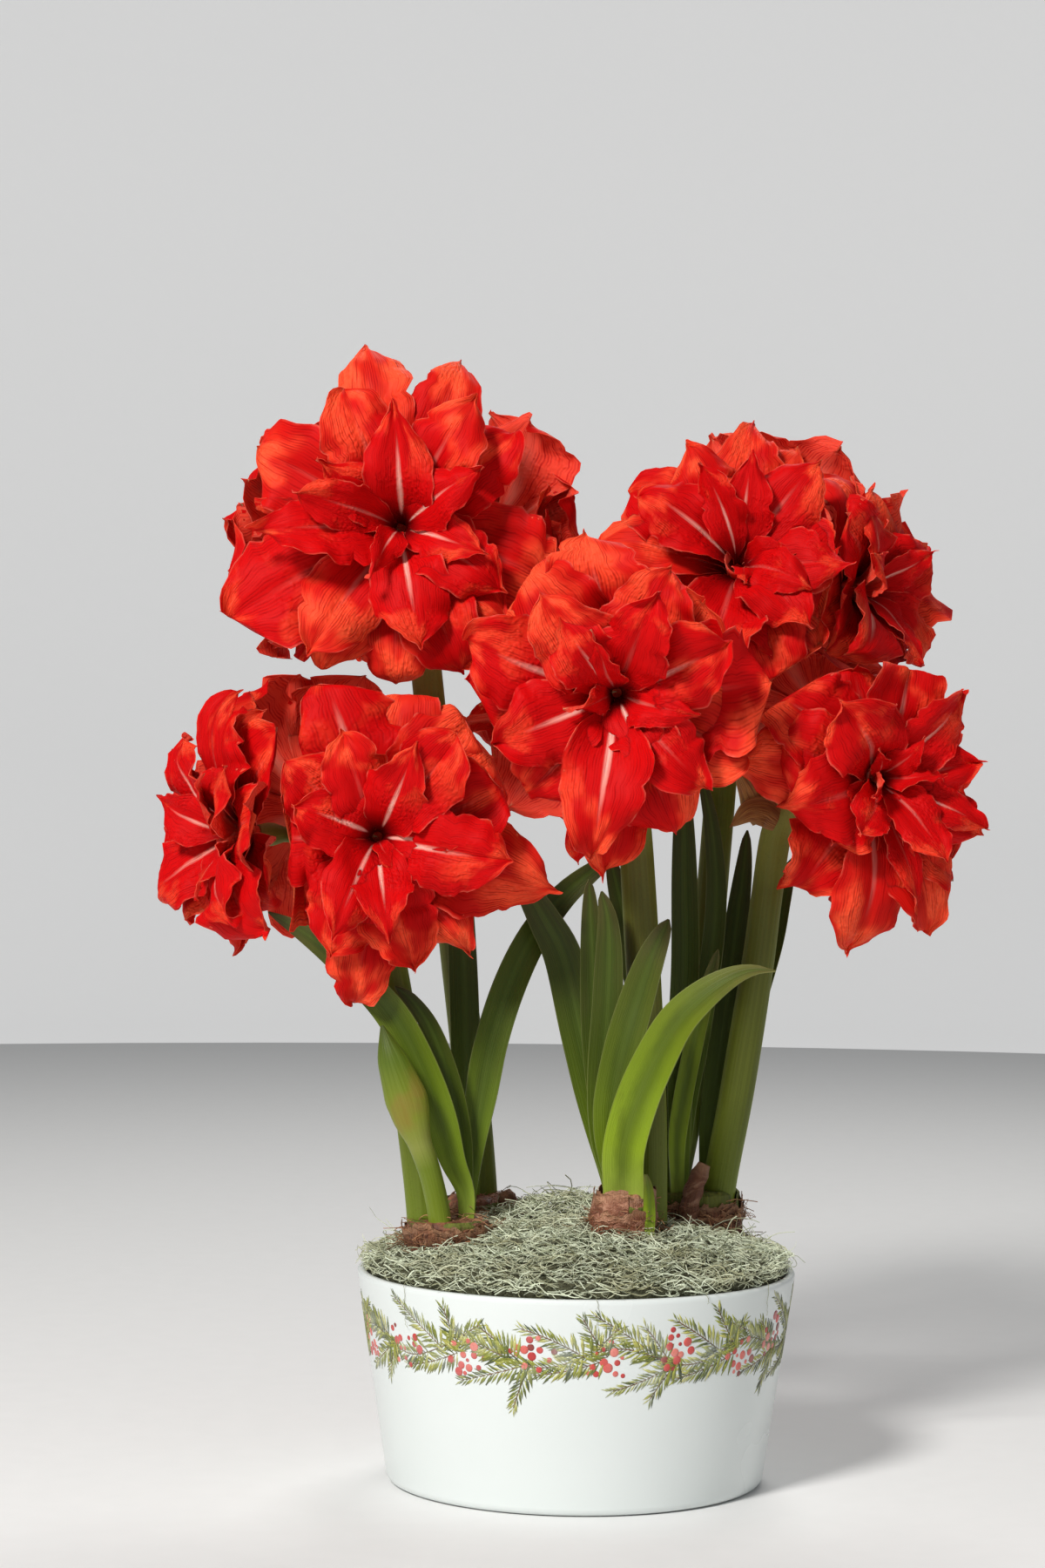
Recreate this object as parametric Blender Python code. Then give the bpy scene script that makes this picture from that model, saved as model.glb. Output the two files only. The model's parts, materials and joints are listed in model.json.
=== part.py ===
"""Double amaryllis in a low round ceramic pot.

Four bulbs stand in soil under a mound of moss. Five flower stems (scapes) and
one bud rise from their necks among strap leaves, and each scape carries a head
of large double blooms.

Sizes below are in millimetres. The origin is the centre of the pot's flat
underside, +Z is up and -Y is the front. Meshes are written in metres.
"""
import math
import random
from collections import namedtuple

import bmesh
import bpy
from mathutils import Matrix, Vector

MM = 0.001
GAP = 0.3
UP = Vector((0, 0, 1))
FRONT = Vector((0, -1, 0))
SHARP_ANGLE = 40

# Pot
POT_RIM_RADIUS = 117.0
POT_BASE_RADIUS = 100.0
POT_HEIGHT = 112.0
POT_SLOPE = (POT_RIM_RADIUS - POT_BASE_RADIUS) / POT_HEIGHT
POT_WALL = 5.0
POT_FLOOR = 6.0
POT_RIM_ROUNDING = 1.6
POT_FOOT_ROUNDING = 2.5
POT_SIDES = 44

# Soil
SOIL_TOP = 92.0
SOIL_ROUNDING = 2.5

# Moss: a mound over the rim whose rings get lumpier away from the middle
MOSS_EDGE_TOP = 115.0
MOSS_RISE = 21.0
MOSS_ROUNDNESS = 2.4
MOSS_RINGS = (112, 104, 86, 62, 36, 14)
MOSS_LUMP = 2.6
MOSS_LUMPY_FROM = 40.0
MOSS_WALL_GAP = 0.6
MOSS_WALL_TOP = 112.5
MOSS_SIDES = 30

# Bulbs: body centre, neck centre, neck radius and neck top
Bulb = namedtuple("Bulb", "body neck neck_radius top")
BULBS = {
    "left": Bulb((-64, -15), (-68, -22), 22, 140),
    "front": Bulb((24, -20), (24, -22), 16.5, 150),
    "right": Bulb((50, 46), (65, 43), 25, 150),
    "back": Bulb((-42, 52), (-52, 47), 20, 142),
}
BULB_BOTTOM = 30.0
BULB_WIDEST = 64.0
BULB_RADIUS = 33.0
BULB_FOOT_SHARE = 0.42
BULB_SHOULDER = 58.0
BULB_LEAN_FROM = 60.0
BULB_LEAN_OVER = 60.0
BULB_HEIGHTS = (36, 48, 64, 80, 96, 112, 124)
BULB_SIDES = 14
NECK_SWELL = 0.8
NECK_CHAMFER_IN = 1.8
NECK_CHAMFER_DOWN = 2.0

# Room round a bulb in the soil and moss, and round a stem in its hole
POCKET_GAP = 0.4
CUT_ABOVE = 40.0
HOLE_GAP = 0.8
HOLE_SIDES = 14
HOLE_ABOVE = 4.0

# Pockets in the bulb necks that the leaf bases stand in: centre and half sizes
LEAF_POCKETS = {
    "left": [(-58.5, -17.5, 10.0, 8.5)],
    "front": [(23.0, -21.8, 12.6, 11.6)],
    "right": [(57.0, 31.5, 9.3, 8.2), (75.0, 55.0, 8.3, 5.2)],
    "back": [(-58.0, 37.5, 7.0, 3.4)],
}
POCKET_DEPTH = 12.0
POCKET_FLARE = 1.6

# Scapes: the bulb each grows from, base and top radius, and its route
Scape = namedtuple("Scape", "bulb base_radius top_radius route")
SCAPES = {
    "upper_left": Scape("back", 9.4, 8.2, [
        (-52, 52, 142), (-57.5, 52, 202), (-67.5, 50, 282),
        (-76, 48, 355), (-84, 45, 427), (-88, 40, 466)]),
    "upper_right": Scape("right", 9.4, 8.0, [
        (53, 51.5, 150), (65, 58, 212), (72, 61, 284),
        (79, 56, 381), (82, 44, 440), (82, 36, 462)]),
    "centre": Scape("front", 9.3, 9.0, [
        (39, -3, 140), (38, -4, 208), (31, -4, 320), (28, -4, 357), (26, -5, 380)]),
    "lower_left": Scape("left", 9.3, 8.6, [
        (-81, -20, 140), (-87, -20, 190), (-96, -17, 250), (-107, -10, 305), (-114, -5, 328)]),
    "lower_right": Scape("right", 9.6, 8.4, [
        (78, 36, 150), (87, 29, 204), (97, 24, 272),
        (101, 21, 306), (106, 20, 343), (113, 20, 360)]),
}
SCAPE_BASE_DEPTH = 22.0
SCAPE_RINGS = 7
SCAPE_SIDES = 10

# A flower's own stalk: how far down the scape the first one leaves it, how
# much lower each next one does, and its radius from there to the bloom
PEDICEL_FROM = 5.0
PEDICEL_STEP = 3.0
PEDICEL_PULL = 0.4
PEDICEL_BENDS = 3
PEDICEL_RADII = (5.0, 4.3, 4.0, 4.4, 6.2, 5.2)
PEDICEL_SIDES = 6
OVARY_LENGTH = 15.0

# The bud on its own stalk: route with the radius across and through the bud
BUD_BULB = "left"
BUD_ROUTE = [
    (-72, -35.5, 120), (-72.5, -36, 142), (-77, -43, 165), (-83, -48, 183),
    (-90, -52, 204), (-98, -53, 226), (-103, -53, 244)]
BUD_RADII = [(6.0, 5.6), (6.0, 5.6), (5.9, 5.5), (6.6, 5.8), (11.4, 7.6), (8.6, 5.6), (2.0, 1.6)]
BUD_RINGS = 9
BUD_SIDES = 12

# Leaves: bulb, half width, how far the blade turns about its length from base
# to tip in degrees, and the route of the midrib
Leaf = namedtuple("Leaf", "bulb half_width turn_foot turn_tip route")
LEAVES = {
    "left_arching": Leaf("left", 9.5, 0, 30, [
        (-59, -22, 153), (-66, -29, 172), (-73, -36, 196), (-84, -37, 224), (-97, -38, 248),
        (-112, -39, 265), (-131, -42, 282), (-148, -44, 294), (-163, -46, 302)]),
    "left_short": Leaf("left", 6.2, 0, 20, [
        (-59.5, -17.8, 153), (-63, -18.5, 190), (-69, -23, 216),
        (-78, -28, 241), (-88, -32, 256), (-97, -33, 263)]),
    "left_crossing": Leaf("left", 9.0, 0, -15, [
        (-57, -13, 155), (-55, -12, 180), (-52, -11, 202), (-47, -9, 231), (-38, -6, 261),
        (-26, -2, 287), (-11, 2, 308), (3, 4, 321), (20, 7, 333)]),
    "back_upright": Leaf("back", 6.5, 0, 25, [
        (-58, 37.5, 155), (-59, 37, 195), (-59, 35, 237),
        (-58.5, 34, 284), (-60, 32, 323), (-63, 30, 356)]),
    "front_far_left": Leaf("front", 11.0, 0, 10, [
        (21.5, -15, 156), (13, -13, 191), (2, -11, 236), (-8, -10, 277),
        (-18, -11, 297), (-27, -13, 312), (-35, -16, 324)]),
    "front_slim": Leaf("front", 7.0, 0, 10, [
        (20, -18.6, 158), (14.5, -19.2, 190), (9, -19.2, 230), (6.5, -20, 282), (5, -21, 312)]),
    "front_upright": Leaf("front", 8.4, 0, 10, [
        (20, -22, 158), (14, -24.5, 185), (13, -26.5, 217),
        (15, -28, 257), (15, -28, 295), (11, -28, 314)]),
    "front_middle": Leaf("front", 10.0, 0, 15, [
        (22, -25.5, 159), (18, -30, 182), (18, -34, 205), (23, -37, 232),
        (30, -37, 257), (37, -39, 279), (46, -40, 300)]),
    "front_arching": Leaf("front", 11.5, 0, 42, [
        (24, -29.2, 157), (24, -37, 180), (31, -46, 207), (42, -53, 232), (52, -58, 249),
        (65, -62, 262), (78, -65, 271), (89, -67, 275), (100, -69, 275)]),
    "right_far_left": Leaf("right", 7.5, 0, 0, [
        (55, 36.6, 153), (50, 38, 180), (40, 39, 228), (28, 37, 285), (20, 35, 318), (16, 34, 335)]),
    "right_tall": Leaf("right", 6.0, 0, 20, [
        (57, 33, 153), (60, 33, 195), (67, 33, 238), (73, 30, 280),
        (75, 28.5, 314), (72, 26, 348), (65, 24, 379)]),
    "right_slim": Leaf("right", 5.2, 0, 15, [
        (56, 29.4, 154), (57, 28.6, 190), (58.5, 26.8, 228), (61, 24, 276),
        (61.5, 22, 322), (60, 19.5, 357), (58, 18, 375)]),
    "right_low": Leaf("right", 5.2, 0, 10, [
        (57, 25.8, 154), (57, 25, 176), (59, 23, 198), (64, 19, 231), (69, 15, 258), (75, 11, 282)]),
    "right_behind": Leaf("right", 7.0, 0, 15, [
        (73, 53, 153), (74, 50, 185), (78, 46, 219), (81, 43, 253),
        (84, 41, 288), (87, 40, 322), (88.5, 40, 344)]),
    "right_outer": Leaf("right", 8.0, 0, 20, [
        (77, 57, 153), (80, 57, 179), (88, 58, 213), (97, 58, 251),
        (107, 57, 285), (112, 55, 307), (118, 52, 331)]),
}
LEAF_THICK_BASE = 2.0
LEAF_THICK_TIP = 1.0
LEAF_EDGE_SHARE = 0.45
LEAF_CHANNEL = 0.22
LEAF_FOOT_SHARE = 0.52
LEAF_TAPER_FROM = 0.5
LEAF_TAPER_POWER = 2.6
LEAF_RINGS = 8
LEAF_LIFT = 1.5

# Blooms: the scape each hangs on, its throat, the way it faces (degrees to the
# right of the front, degrees up), how far its petals reach to the right, up,
# to the left and down as seen from its front, the turn of its first petal, and
# the petals in each of its four whorls
FULL_REACH = 92.0
THROAT_DEPTH = 18.0
FULL = (3, 3, 4, 3)
SIDE = (3, 3, 3, 1)
Bloom = namedtuple("Bloom", "scape throat heading reach turn petals")
BLOOMS = {
    "upper_left_front": Bloom("upper_left", (-97, -20, 506), (0, 6), (86, 92, 96, 82), 80, FULL),
    "upper_left_side": Bloom("upper_left", (-146, 72, 505), (-128, 2), (78, 70, 80, 78), 20, SIDE),
    "upper_left_back": Bloom("upper_left", (-40, 78, 508), (132, 6), (80, 74, 60, 78), 50, SIDE),
    "upper_right_front": Bloom("upper_right", (83, -15, 489), (3, 20), (86, 78, 74, 74), 85, FULL),
    "upper_right_side": Bloom("upper_right", (156, 32, 478), (58, 2), (76, 62, 78, 74), 40, SIDE),
    "upper_right_back": Bloom("upper_right", (106, 104, 508), (165, 10), (74, 68, 78, 80), 10, SIDE),
    "centre_front": Bloom("centre", (16, -85, 416), (-4, -8), (80, 78, 84, 95), 95, FULL),
    "centre_back": Bloom("centre", (8, 62, 414), (176, 4), (76, 84, 80, 74), 30, SIDE),
    "lower_left_front": Bloom("lower_left", (-106, -60, 342), (2, 0), (92, 90, 80, 84), 60, FULL),
    "lower_left_side": Bloom("lower_left", (-187, -29, 342), (-80, 0), (74, 74, 78, 66), 15, SIDE),
    "lower_left_back": Bloom("lower_left", (-150, 52, 358), (-158, 8), (78, 78, 78, 70), 45, SIDE),
    "lower_right_front": Bloom("lower_right", (157, -27, 375), (26, -2), (70, 78, 76, 90), 75, FULL),
    "lower_right_top": Bloom("lower_right", (128, 52, 418), (-170, 30), (72, 74, 72, 74), 55, SIDE),
    "lower_right_side": Bloom("lower_right", (172, 64, 369), (126, 0), (70, 62, 68, 74), 5, SIDE),
}
BLOOM_SEED = 100

# Planes that keep a bloom off another head's scape: outward normal and reach
BLOOM_BARS = {
    "lower_right_top": [((-1, 0, 0), -91.0)],
}

# Whorls of a full bloom: petal length and width, the angle between petal and
# axis at its foot and at its tip, how high in the throat it starts, and the
# places along it that get a station
WHORLS = (
    {"length": 98, "width": 50, "foot": 62, "tip": 114, "rise": 2, "stations": (0.0, 0.32, 0.58, 0.82, 1.0)},
    {"length": 96, "width": 46, "foot": 42, "tip": 102, "rise": 5, "stations": (0.0, 0.32, 0.58, 0.82, 1.0)},
    {"length": 80, "width": 38, "foot": 23, "tip": 90, "rise": 8, "stations": (0.0, 0.38, 0.72, 1.0)},
    {"length": 52, "width": 24, "foot": 9, "tip": 62, "rise": 12, "stations": (0.0, 0.55, 1.0)},
)
WHORL_TURN = 60
PETAL_THICK = 1.8
PETAL_TIP_THICK = 0.8
PETAL_START = 3.0
PETAL_CLAW = 0.14
PETAL_STEPS = 4
PETAL_TRIES = 6
PETAL_SHORTER = 0.93

# The tube that the petals rise from: radius and height of its rings
CORE_OUTLINE = ((5.4, 0.0), (6.6, 8.0), (7.6, 16.0), (3.0, 24.0))
CORE_SIDES = 7

# How neighbouring blooms press against each other
CELL_LEAD = 8.0
CELL_RANGE = 2.4 * FULL_REACH
NEIGHBOUR_GAP = 1.9
SOFT_EDGE = 12.0
OVERREACH = 10.0
PRESS_PASSES = 4

# Spathe bracts: half width and route
Spathe = namedtuple("Spathe", "half_width route")
SPATHES = {
    "spathe_lower_right_upper": Spathe(8.0, [(100, 8, 352), (94, 4, 366), (87, 1, 376), (79, -1, 383)]),
    "spathe_lower_right_lower": Spathe(9.0, [(104, 6.5, 343), (98, -1, 354), (89, -5, 356), (79, -7, 349)]),
    "spathe_upper_right": Spathe(6.5, [(70.5, 31, 444), (68, 27, 456), (68, 24, 468), (71, 21, 480)]),
}
SPATHE_HINT = Vector((0.25, -1, 0.2))
SPATHE_FOOT_SHARE = 0.35
SPATHE_FOLD = 0.25
SPATHE_THICK = 1.3
SPATHE_TIP_THICK = 0.9
SPATHE_EDGE_SHARE = 0.6
SPATHE_RINGS = 6


def clear_scene():
    for item in list(bpy.data.objects):
        bpy.data.objects.remove(item, do_unlink=True)


def make_material(name, colour, roughness):
    material = bpy.data.materials.new(name)
    material.use_nodes = True
    shader = material.node_tree.nodes["Principled BSDF"]
    shader.inputs["Base Color"].default_value = (*colour, 1.0)
    shader.inputs["Roughness"].default_value = roughness
    shader.inputs["Metallic"].default_value = 0.0
    return material


def make_object(name, points, faces, material):
    """One closed mesh object from points in millimetres."""
    shape = bmesh.new()
    corners = [shape.verts.new(Vector(point) * MM) for point in points]
    for face in faces:
        shape.faces.new([corners[index] for index in face])
    bmesh.ops.recalc_face_normals(shape, faces=shape.faces)
    mesh = bpy.data.meshes.new(name)
    shape.to_mesh(mesh)
    shape.free()
    mesh.materials.append(material)
    mesh.shade_smooth()
    mesh.set_sharp_from_angle(angle=math.radians(SHARP_ANGLE))
    item = bpy.data.objects.new(name, mesh)
    bpy.context.scene.collection.objects.link(item)
    return item


def loft(name, rings, material):
    """A closed solid through rings of equal count, with a flat cap at each end."""
    count = len(rings[0])
    points = [point for ring in rings for point in ring]
    faces = []
    for row in range(len(rings) - 1):
        lower = row * count
        upper = lower + count
        for column in range(count):
            following = (column + 1) % count
            faces.append((lower + column, lower + following, upper + following, upper + column))
    faces.append(tuple(range(count)))
    faces.append(tuple(range(len(points) - count, len(points))))
    return make_object(name, points, faces, material)


def circle(centre, radius_x, radius_y, height, count):
    ring = []
    for index in range(count):
        angle = math.tau * index / count
        ring.append((centre[0] + radius_x * math.cos(angle), centre[1] + radius_y * math.sin(angle), height))
    return ring


def round_ring(radius, height, count):
    return circle((0, 0), radius, radius, height, count)


def smooth_step(value):
    value = min(max(value, 0.0), 1.0)
    return value * value * (3 - 2 * value)


def smooth_route(points, count):
    """Points evenly spaced along a Catmull-Rom curve through the given ones."""
    knots = [Vector(point) for point in points]
    knots = [2 * knots[0] - knots[1]] + knots + [2 * knots[-1] - knots[-2]]
    fine = []
    steps = 24
    for index in range(1, len(knots) - 2):
        before, start, end, after = knots[index - 1:index + 3]
        for step in range(steps):
            t = step / steps
            fine.append(0.5 * (2 * start + (end - before) * t
                               + (2 * before - 5 * start + 4 * end - after) * t * t
                               + (3 * start - before - 3 * end + after) * t * t * t))
    fine.append(knots[-2])
    lengths = distances(fine)
    route = []
    cursor = 0
    for index in range(count):
        target = lengths[-1] * index / (count - 1)
        while cursor < len(fine) - 2 and lengths[cursor + 1] < target:
            cursor += 1
        span = lengths[cursor + 1] - lengths[cursor]
        share = (target - lengths[cursor]) / span
        route.append(fine[cursor].lerp(fine[cursor + 1], min(share, 1.0)))
    return route


def distances(points):
    """How far along a row of points each one lies."""
    lengths = [0.0]
    for first, second in zip(points, points[1:]):
        lengths.append(lengths[-1] + (Vector(second) - Vector(first)).length)
    return lengths


def tangents(route):
    result = []
    for index in range(len(route)):
        before = route[max(index - 1, 0)]
        after = route[min(index + 1, len(route) - 1)]
        result.append((after - before).normalized())
    return result


def tube_rings(route, radii, count):
    """Round or oval rings square to a route; radii are pairs across and through."""
    rings = []
    for point, along, (across, through) in zip(route, tangents(route), radii):
        side = along.cross(FRONT).normalized()
        front = along.cross(side).normalized()
        ring = []
        for index in range(count):
            angle = math.tau * index / count
            ring.append(point + side * (across * math.cos(angle)) + front * (through * math.sin(angle)))
        rings.append(ring)
    return rings


def blade(name, middles, lefts, rights, fronts, thicks, material, edge_share):
    """A closed blade: a midrib line with a margin on each side, and a pointed end.

    Both faces are split into the same triangles. A margin is edge_share as
    thick as the midrib, or sharp where edge_share is 0.
    """
    rows = len(middles) - 1
    points = []
    for row in range(rows):
        half = fronts[row] * (thicks[row] / 2)
        if edge_share:
            thin = half * edge_share
            points += [lefts[row] + thin, middles[row] + half, rights[row] + thin,
                       rights[row] - thin, middles[row] - half, lefts[row] - thin]
        else:
            points += [lefts[row], middles[row] + half, rights[row], middles[row] - half]
    tip = len(points)
    points.append(middles[rows])
    count = 6 if edge_share else 4
    top = [(0, 1), (1, 2)]
    under = [(5, 4), (4, 3)] if edge_share else [(0, 3), (3, 2)]
    walls = [(0, 5), (2, 3)] if edge_share else []
    faces = []
    for row in range(rows - 1):
        low = row * count
        high = low + count
        for first, second in top + under + walls:
            faces.append((low + first, low + second, high + second))
            faces.append((low + first, high + second, high + first))
    last = (rows - 1) * count
    for first, second in top + under + walls:
        faces.append((last + first, last + second, tip))
    faces.append(tuple(range(count)))
    return make_object(name, points, faces, material)


def keep_largest_body(item):
    """Drop loose scraps and closed-in hollows, which a union can leave."""
    shape = bmesh.new()
    shape.from_mesh(item.data)
    unseen = set(shape.verts)
    bodies = []
    while unseen:
        stack = [unseen.pop()]
        body = set(stack)
        while stack:
            corner = stack.pop()
            for edge in corner.link_edges:
                other = edge.other_vert(corner)
                if other in unseen:
                    unseen.remove(other)
                    body.add(other)
                    stack.append(other)
        bodies.append(body)
    bodies.sort(key=len, reverse=True)
    for body in bodies[1:]:
        bmesh.ops.delete(shape, geom=list(body), context="VERTS")
    shape.to_mesh(item.data)
    shape.free()


def combine(item, others, operation):
    """Apply one Boolean with a collection of other objects, and remove them."""
    group = bpy.data.collections.new(item.name + "_group")
    bpy.context.scene.collection.children.link(group)
    for other in others:
        bpy.context.scene.collection.objects.unlink(other)
        group.objects.link(other)
    boolean = item.modifiers.new("Boolean", "BOOLEAN")
    boolean.operation = operation
    boolean.operand_type = "COLLECTION"
    boolean.collection = group
    boolean.solver = "EXACT"
    scene_graph = bpy.context.evaluated_depsgraph_get()
    mesh = bpy.data.meshes.new_from_object(item.evaluated_get(scene_graph))
    item.modifiers.clear()
    old = item.data
    item.data = mesh
    mesh.name = item.name
    bpy.data.meshes.remove(old)
    for other in others:
        bpy.data.objects.remove(other, do_unlink=True)
    bpy.data.collections.remove(group)
    keep_largest_body(item)


def pot_inner_radius(height):
    return POT_BASE_RADIUS - POT_WALL + POT_SLOPE * height


def make_pot(material):
    rim = POT_RIM_ROUNDING
    foot = POT_FOOT_ROUNDING
    outline = [
        (POT_BASE_RADIUS - foot, 0.0),
        (POT_BASE_RADIUS + POT_SLOPE * foot, foot),
        (POT_RIM_RADIUS - POT_SLOPE * rim, POT_HEIGHT - rim),
        (POT_RIM_RADIUS - rim, POT_HEIGHT),
        (POT_RIM_RADIUS - POT_WALL + rim, POT_HEIGHT),
        (pot_inner_radius(POT_HEIGHT - rim), POT_HEIGHT - rim),
        (pot_inner_radius(POT_FLOOR + foot), POT_FLOOR + foot),
        (pot_inner_radius(POT_FLOOR) - foot, POT_FLOOR),
    ]
    rings = [round_ring(radius, height, POT_SIDES) for radius, height in outline]
    return loft("pot", rings, material)


def bulb_axis(bulb, height):
    """Centre of the bulb at a height, from under its body to its neck."""
    share = smooth_step((height - BULB_LEAN_FROM) / BULB_LEAN_OVER)
    return Vector(bulb.body).lerp(Vector(bulb.neck), share)


def bulb_radius(bulb, height):
    """Onion-shaped body that narrows to the papery neck."""
    if height <= BULB_WIDEST:
        share = (height - BULB_BOTTOM) / (BULB_WIDEST - BULB_BOTTOM)
        fullness = math.sin(math.pi / 2 * share) ** 0.8
        return BULB_RADIUS * (BULB_FOOT_SHARE + (1 - BULB_FOOT_SHARE) * fullness)
    share = smooth_step((height - BULB_WIDEST) / BULB_SHOULDER)
    return BULB_RADIUS + (bulb.neck_radius + NECK_SWELL - BULB_RADIUS) * share


def bulb_solid(name, bulb, extra, material):
    """The bulb grown outwards by extra, which also cuts its pocket."""
    top = bulb.top + CUT_ABOVE if extra else bulb.top - NECK_CHAMFER_DOWN
    rings = []
    for height in [BULB_BOTTOM - extra, *BULB_HEIGHTS, top]:
        clamped = min(max(height, BULB_BOTTOM), bulb.top)
        radius = bulb_radius(bulb, clamped) + extra
        rings.append(circle(bulb_axis(bulb, height), radius, radius, height, BULB_SIDES))
    if not extra:
        centre = bulb_axis(bulb, bulb.top)
        rings[-1] = circle(centre, bulb.neck_radius, bulb.neck_radius, top, BULB_SIDES)
        radius = bulb.neck_radius - NECK_CHAMFER_IN
        rings.append(circle(centre, radius, radius, bulb.top, BULB_SIDES))
    return loft(name, rings, material)


def scape_foot(scape):
    return BULBS[scape.bulb].top - SCAPE_BASE_DEPTH


def scape_hole(scape, material):
    """The plain round hole that a scape's foot stands in."""
    start = Vector(scape.route[0])
    radius = scape.base_radius + HOLE_GAP
    top = max(BULBS[scape.bulb].top, start.z) + HOLE_ABOVE
    rings = [circle(start, radius, radius, scape_foot(scape) - GAP, HOLE_SIDES),
             circle(start, radius, radius, top, HOLE_SIDES)]
    return loft("hole", rings, material)


def bud_hole(material):
    """The hole for the bud's stalk, which leans a little towards its top."""
    start = Vector(BUD_ROUTE[0])
    top = Vector(BUD_ROUTE[1])
    radius = BUD_RADII[0][0] + HOLE_GAP
    rings = [circle(start, radius, radius, start.z - GAP, HOLE_SIDES),
             circle(top, radius + GAP, radius + GAP, top.z + HOLE_ABOVE / 2, HOLE_SIDES)]
    return loft("hole", rings, material)


def neck_holes(bulb_name, material):
    holes = [scape_hole(scape, material) for scape in SCAPES.values() if scape.bulb == bulb_name]
    if bulb_name == BUD_BULB:
        holes.append(bud_hole(material))
    return holes


def leaf_pocket(bulb, pocket, material):
    """The flared hollow in a neck that a bunch of leaf bases stands in."""
    x, y, half_x, half_y = pocket
    rings = [circle((x, y), half_x, half_y, bulb.top - POCKET_DEPTH, HOLE_SIDES),
             circle((x, y), half_x + POCKET_FLARE, half_y + POCKET_FLARE, bulb.top + HOLE_ABOVE, HOLE_SIDES)]
    return loft("pocket", rings, material)


def make_bulbs(material):
    for name, bulb in BULBS.items():
        item = bulb_solid("bulb_" + name, bulb, 0.0, material)
        cutters = neck_holes(name, material)
        cutters += [leaf_pocket(bulb, pocket, material) for pocket in LEAF_POCKETS[name]]
        combine(item, cutters, "DIFFERENCE")


def make_soil(material):
    bottom = POT_FLOOR + GAP
    side = bottom + SOIL_ROUNDING
    outline = [
        (pot_inner_radius(side) - 3.0, bottom),
        (pot_inner_radius(side) - GAP, side),
        (pot_inner_radius(SOIL_TOP) - GAP, SOIL_TOP),
    ]
    soil = loft("soil", [round_ring(radius, height, POT_SIDES) for radius, height in outline], material)
    cutters = [bulb_solid("pocket", bulb, POCKET_GAP, material) for bulb in BULBS.values()]
    combine(soil, cutters, "DIFFERENCE")


def make_moss(material):
    draw = random.Random(7)
    bottom = SOIL_TOP + GAP
    rings = [
        round_ring(pot_inner_radius(bottom) - MOSS_WALL_GAP, bottom, MOSS_SIDES),
        round_ring(pot_inner_radius(POT_HEIGHT) - MOSS_WALL_GAP, MOSS_WALL_TOP, MOSS_SIDES),
    ]
    for radius in MOSS_RINGS:
        rise = MOSS_RISE * (1 - (radius / POT_RIM_RADIUS) ** MOSS_ROUNDNESS)
        ring = []
        for x, y, height in round_ring(radius, MOSS_EDGE_TOP + rise, MOSS_SIDES):
            lump = draw.uniform(-1, 1) * MOSS_LUMP * min(1.0, radius / MOSS_LUMPY_FROM)
            ring.append((x, y, height + lump))
        rings.append(ring)
    moss = loft("moss", rings, material)
    cutters = []
    for name, bulb in BULBS.items():
        cutters.append(bulb_solid("pocket", bulb, POCKET_GAP, material))
        cutters += neck_holes(name, material)
    combine(moss, cutters, "DIFFERENCE")


def make_leaf(name, material):
    leaf = LEAVES[name]
    foot = Vector(leaf.route[0])
    foot.z = BULBS[leaf.bulb].top - POCKET_DEPTH + LEAF_LIFT
    middles = smooth_route([foot] + leaf.route, LEAF_RINGS)
    lefts, rights, fronts, thicks = [], [], [], []
    for index, (middle, along) in enumerate(zip(middles, tangents(middles))):
        t = index / (LEAF_RINGS - 1)
        turn = math.radians(leaf.turn_foot + (leaf.turn_tip - leaf.turn_foot) * smooth_step(t))
        level = along.cross(FRONT).normalized()
        ahead = level.cross(along).normalized()
        side = level * math.cos(turn) + ahead * math.sin(turn)
        front = ahead * math.cos(turn) - level * math.sin(turn)
        narrow_foot = LEAF_FOOT_SHARE + (1 - LEAF_FOOT_SHARE) * smooth_step((t - 0.08) / 0.3)
        past = max((t - LEAF_TAPER_FROM) / (1 - LEAF_TAPER_FROM), 0)
        taper = math.sqrt(max(1 - past ** LEAF_TAPER_POWER, 0.0))
        half = leaf.half_width * narrow_foot * taper
        lift = front * (half * LEAF_CHANNEL * smooth_step(t / 0.2))
        lefts.append(middle - side * half + lift)
        rights.append(middle + side * half + lift)
        fronts.append(front)
        thicks.append(LEAF_THICK_BASE + (LEAF_THICK_TIP - LEAF_THICK_BASE) * t)
    return blade("leaf_" + name, middles, lefts, rights, fronts, thicks, material, LEAF_EDGE_SHARE)


def bud_radius(along, lengths):
    """The bud's two radii at a distance along its route."""
    span = max(step for step in range(len(BUD_RADII) - 1) if lengths[step] <= along + GAP * MM)
    share = (along - lengths[span]) / (lengths[span + 1] - lengths[span])
    return tuple(low + (high - low) * share for low, high in zip(BUD_RADII[span], BUD_RADII[span + 1]))


def make_bud(material):
    route = smooth_route(BUD_ROUTE, BUD_RINGS)
    lengths = distances(BUD_ROUTE)
    radii = [bud_radius(lengths[-1] * index / (BUD_RINGS - 1), lengths) for index in range(BUD_RINGS)]
    return loft("bud", tube_rings(route, radii, BUD_SIDES), material)


def facing(azimuth, elevation):
    turn = math.radians(azimuth)
    rise = math.radians(elevation)
    return Vector((math.sin(turn) * math.cos(rise), -math.cos(turn) * math.cos(rise), math.sin(rise)))


def bloom_foot(bloom):
    return Vector(bloom.throat) - facing(*bloom.heading) * THROAT_DEPTH


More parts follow.
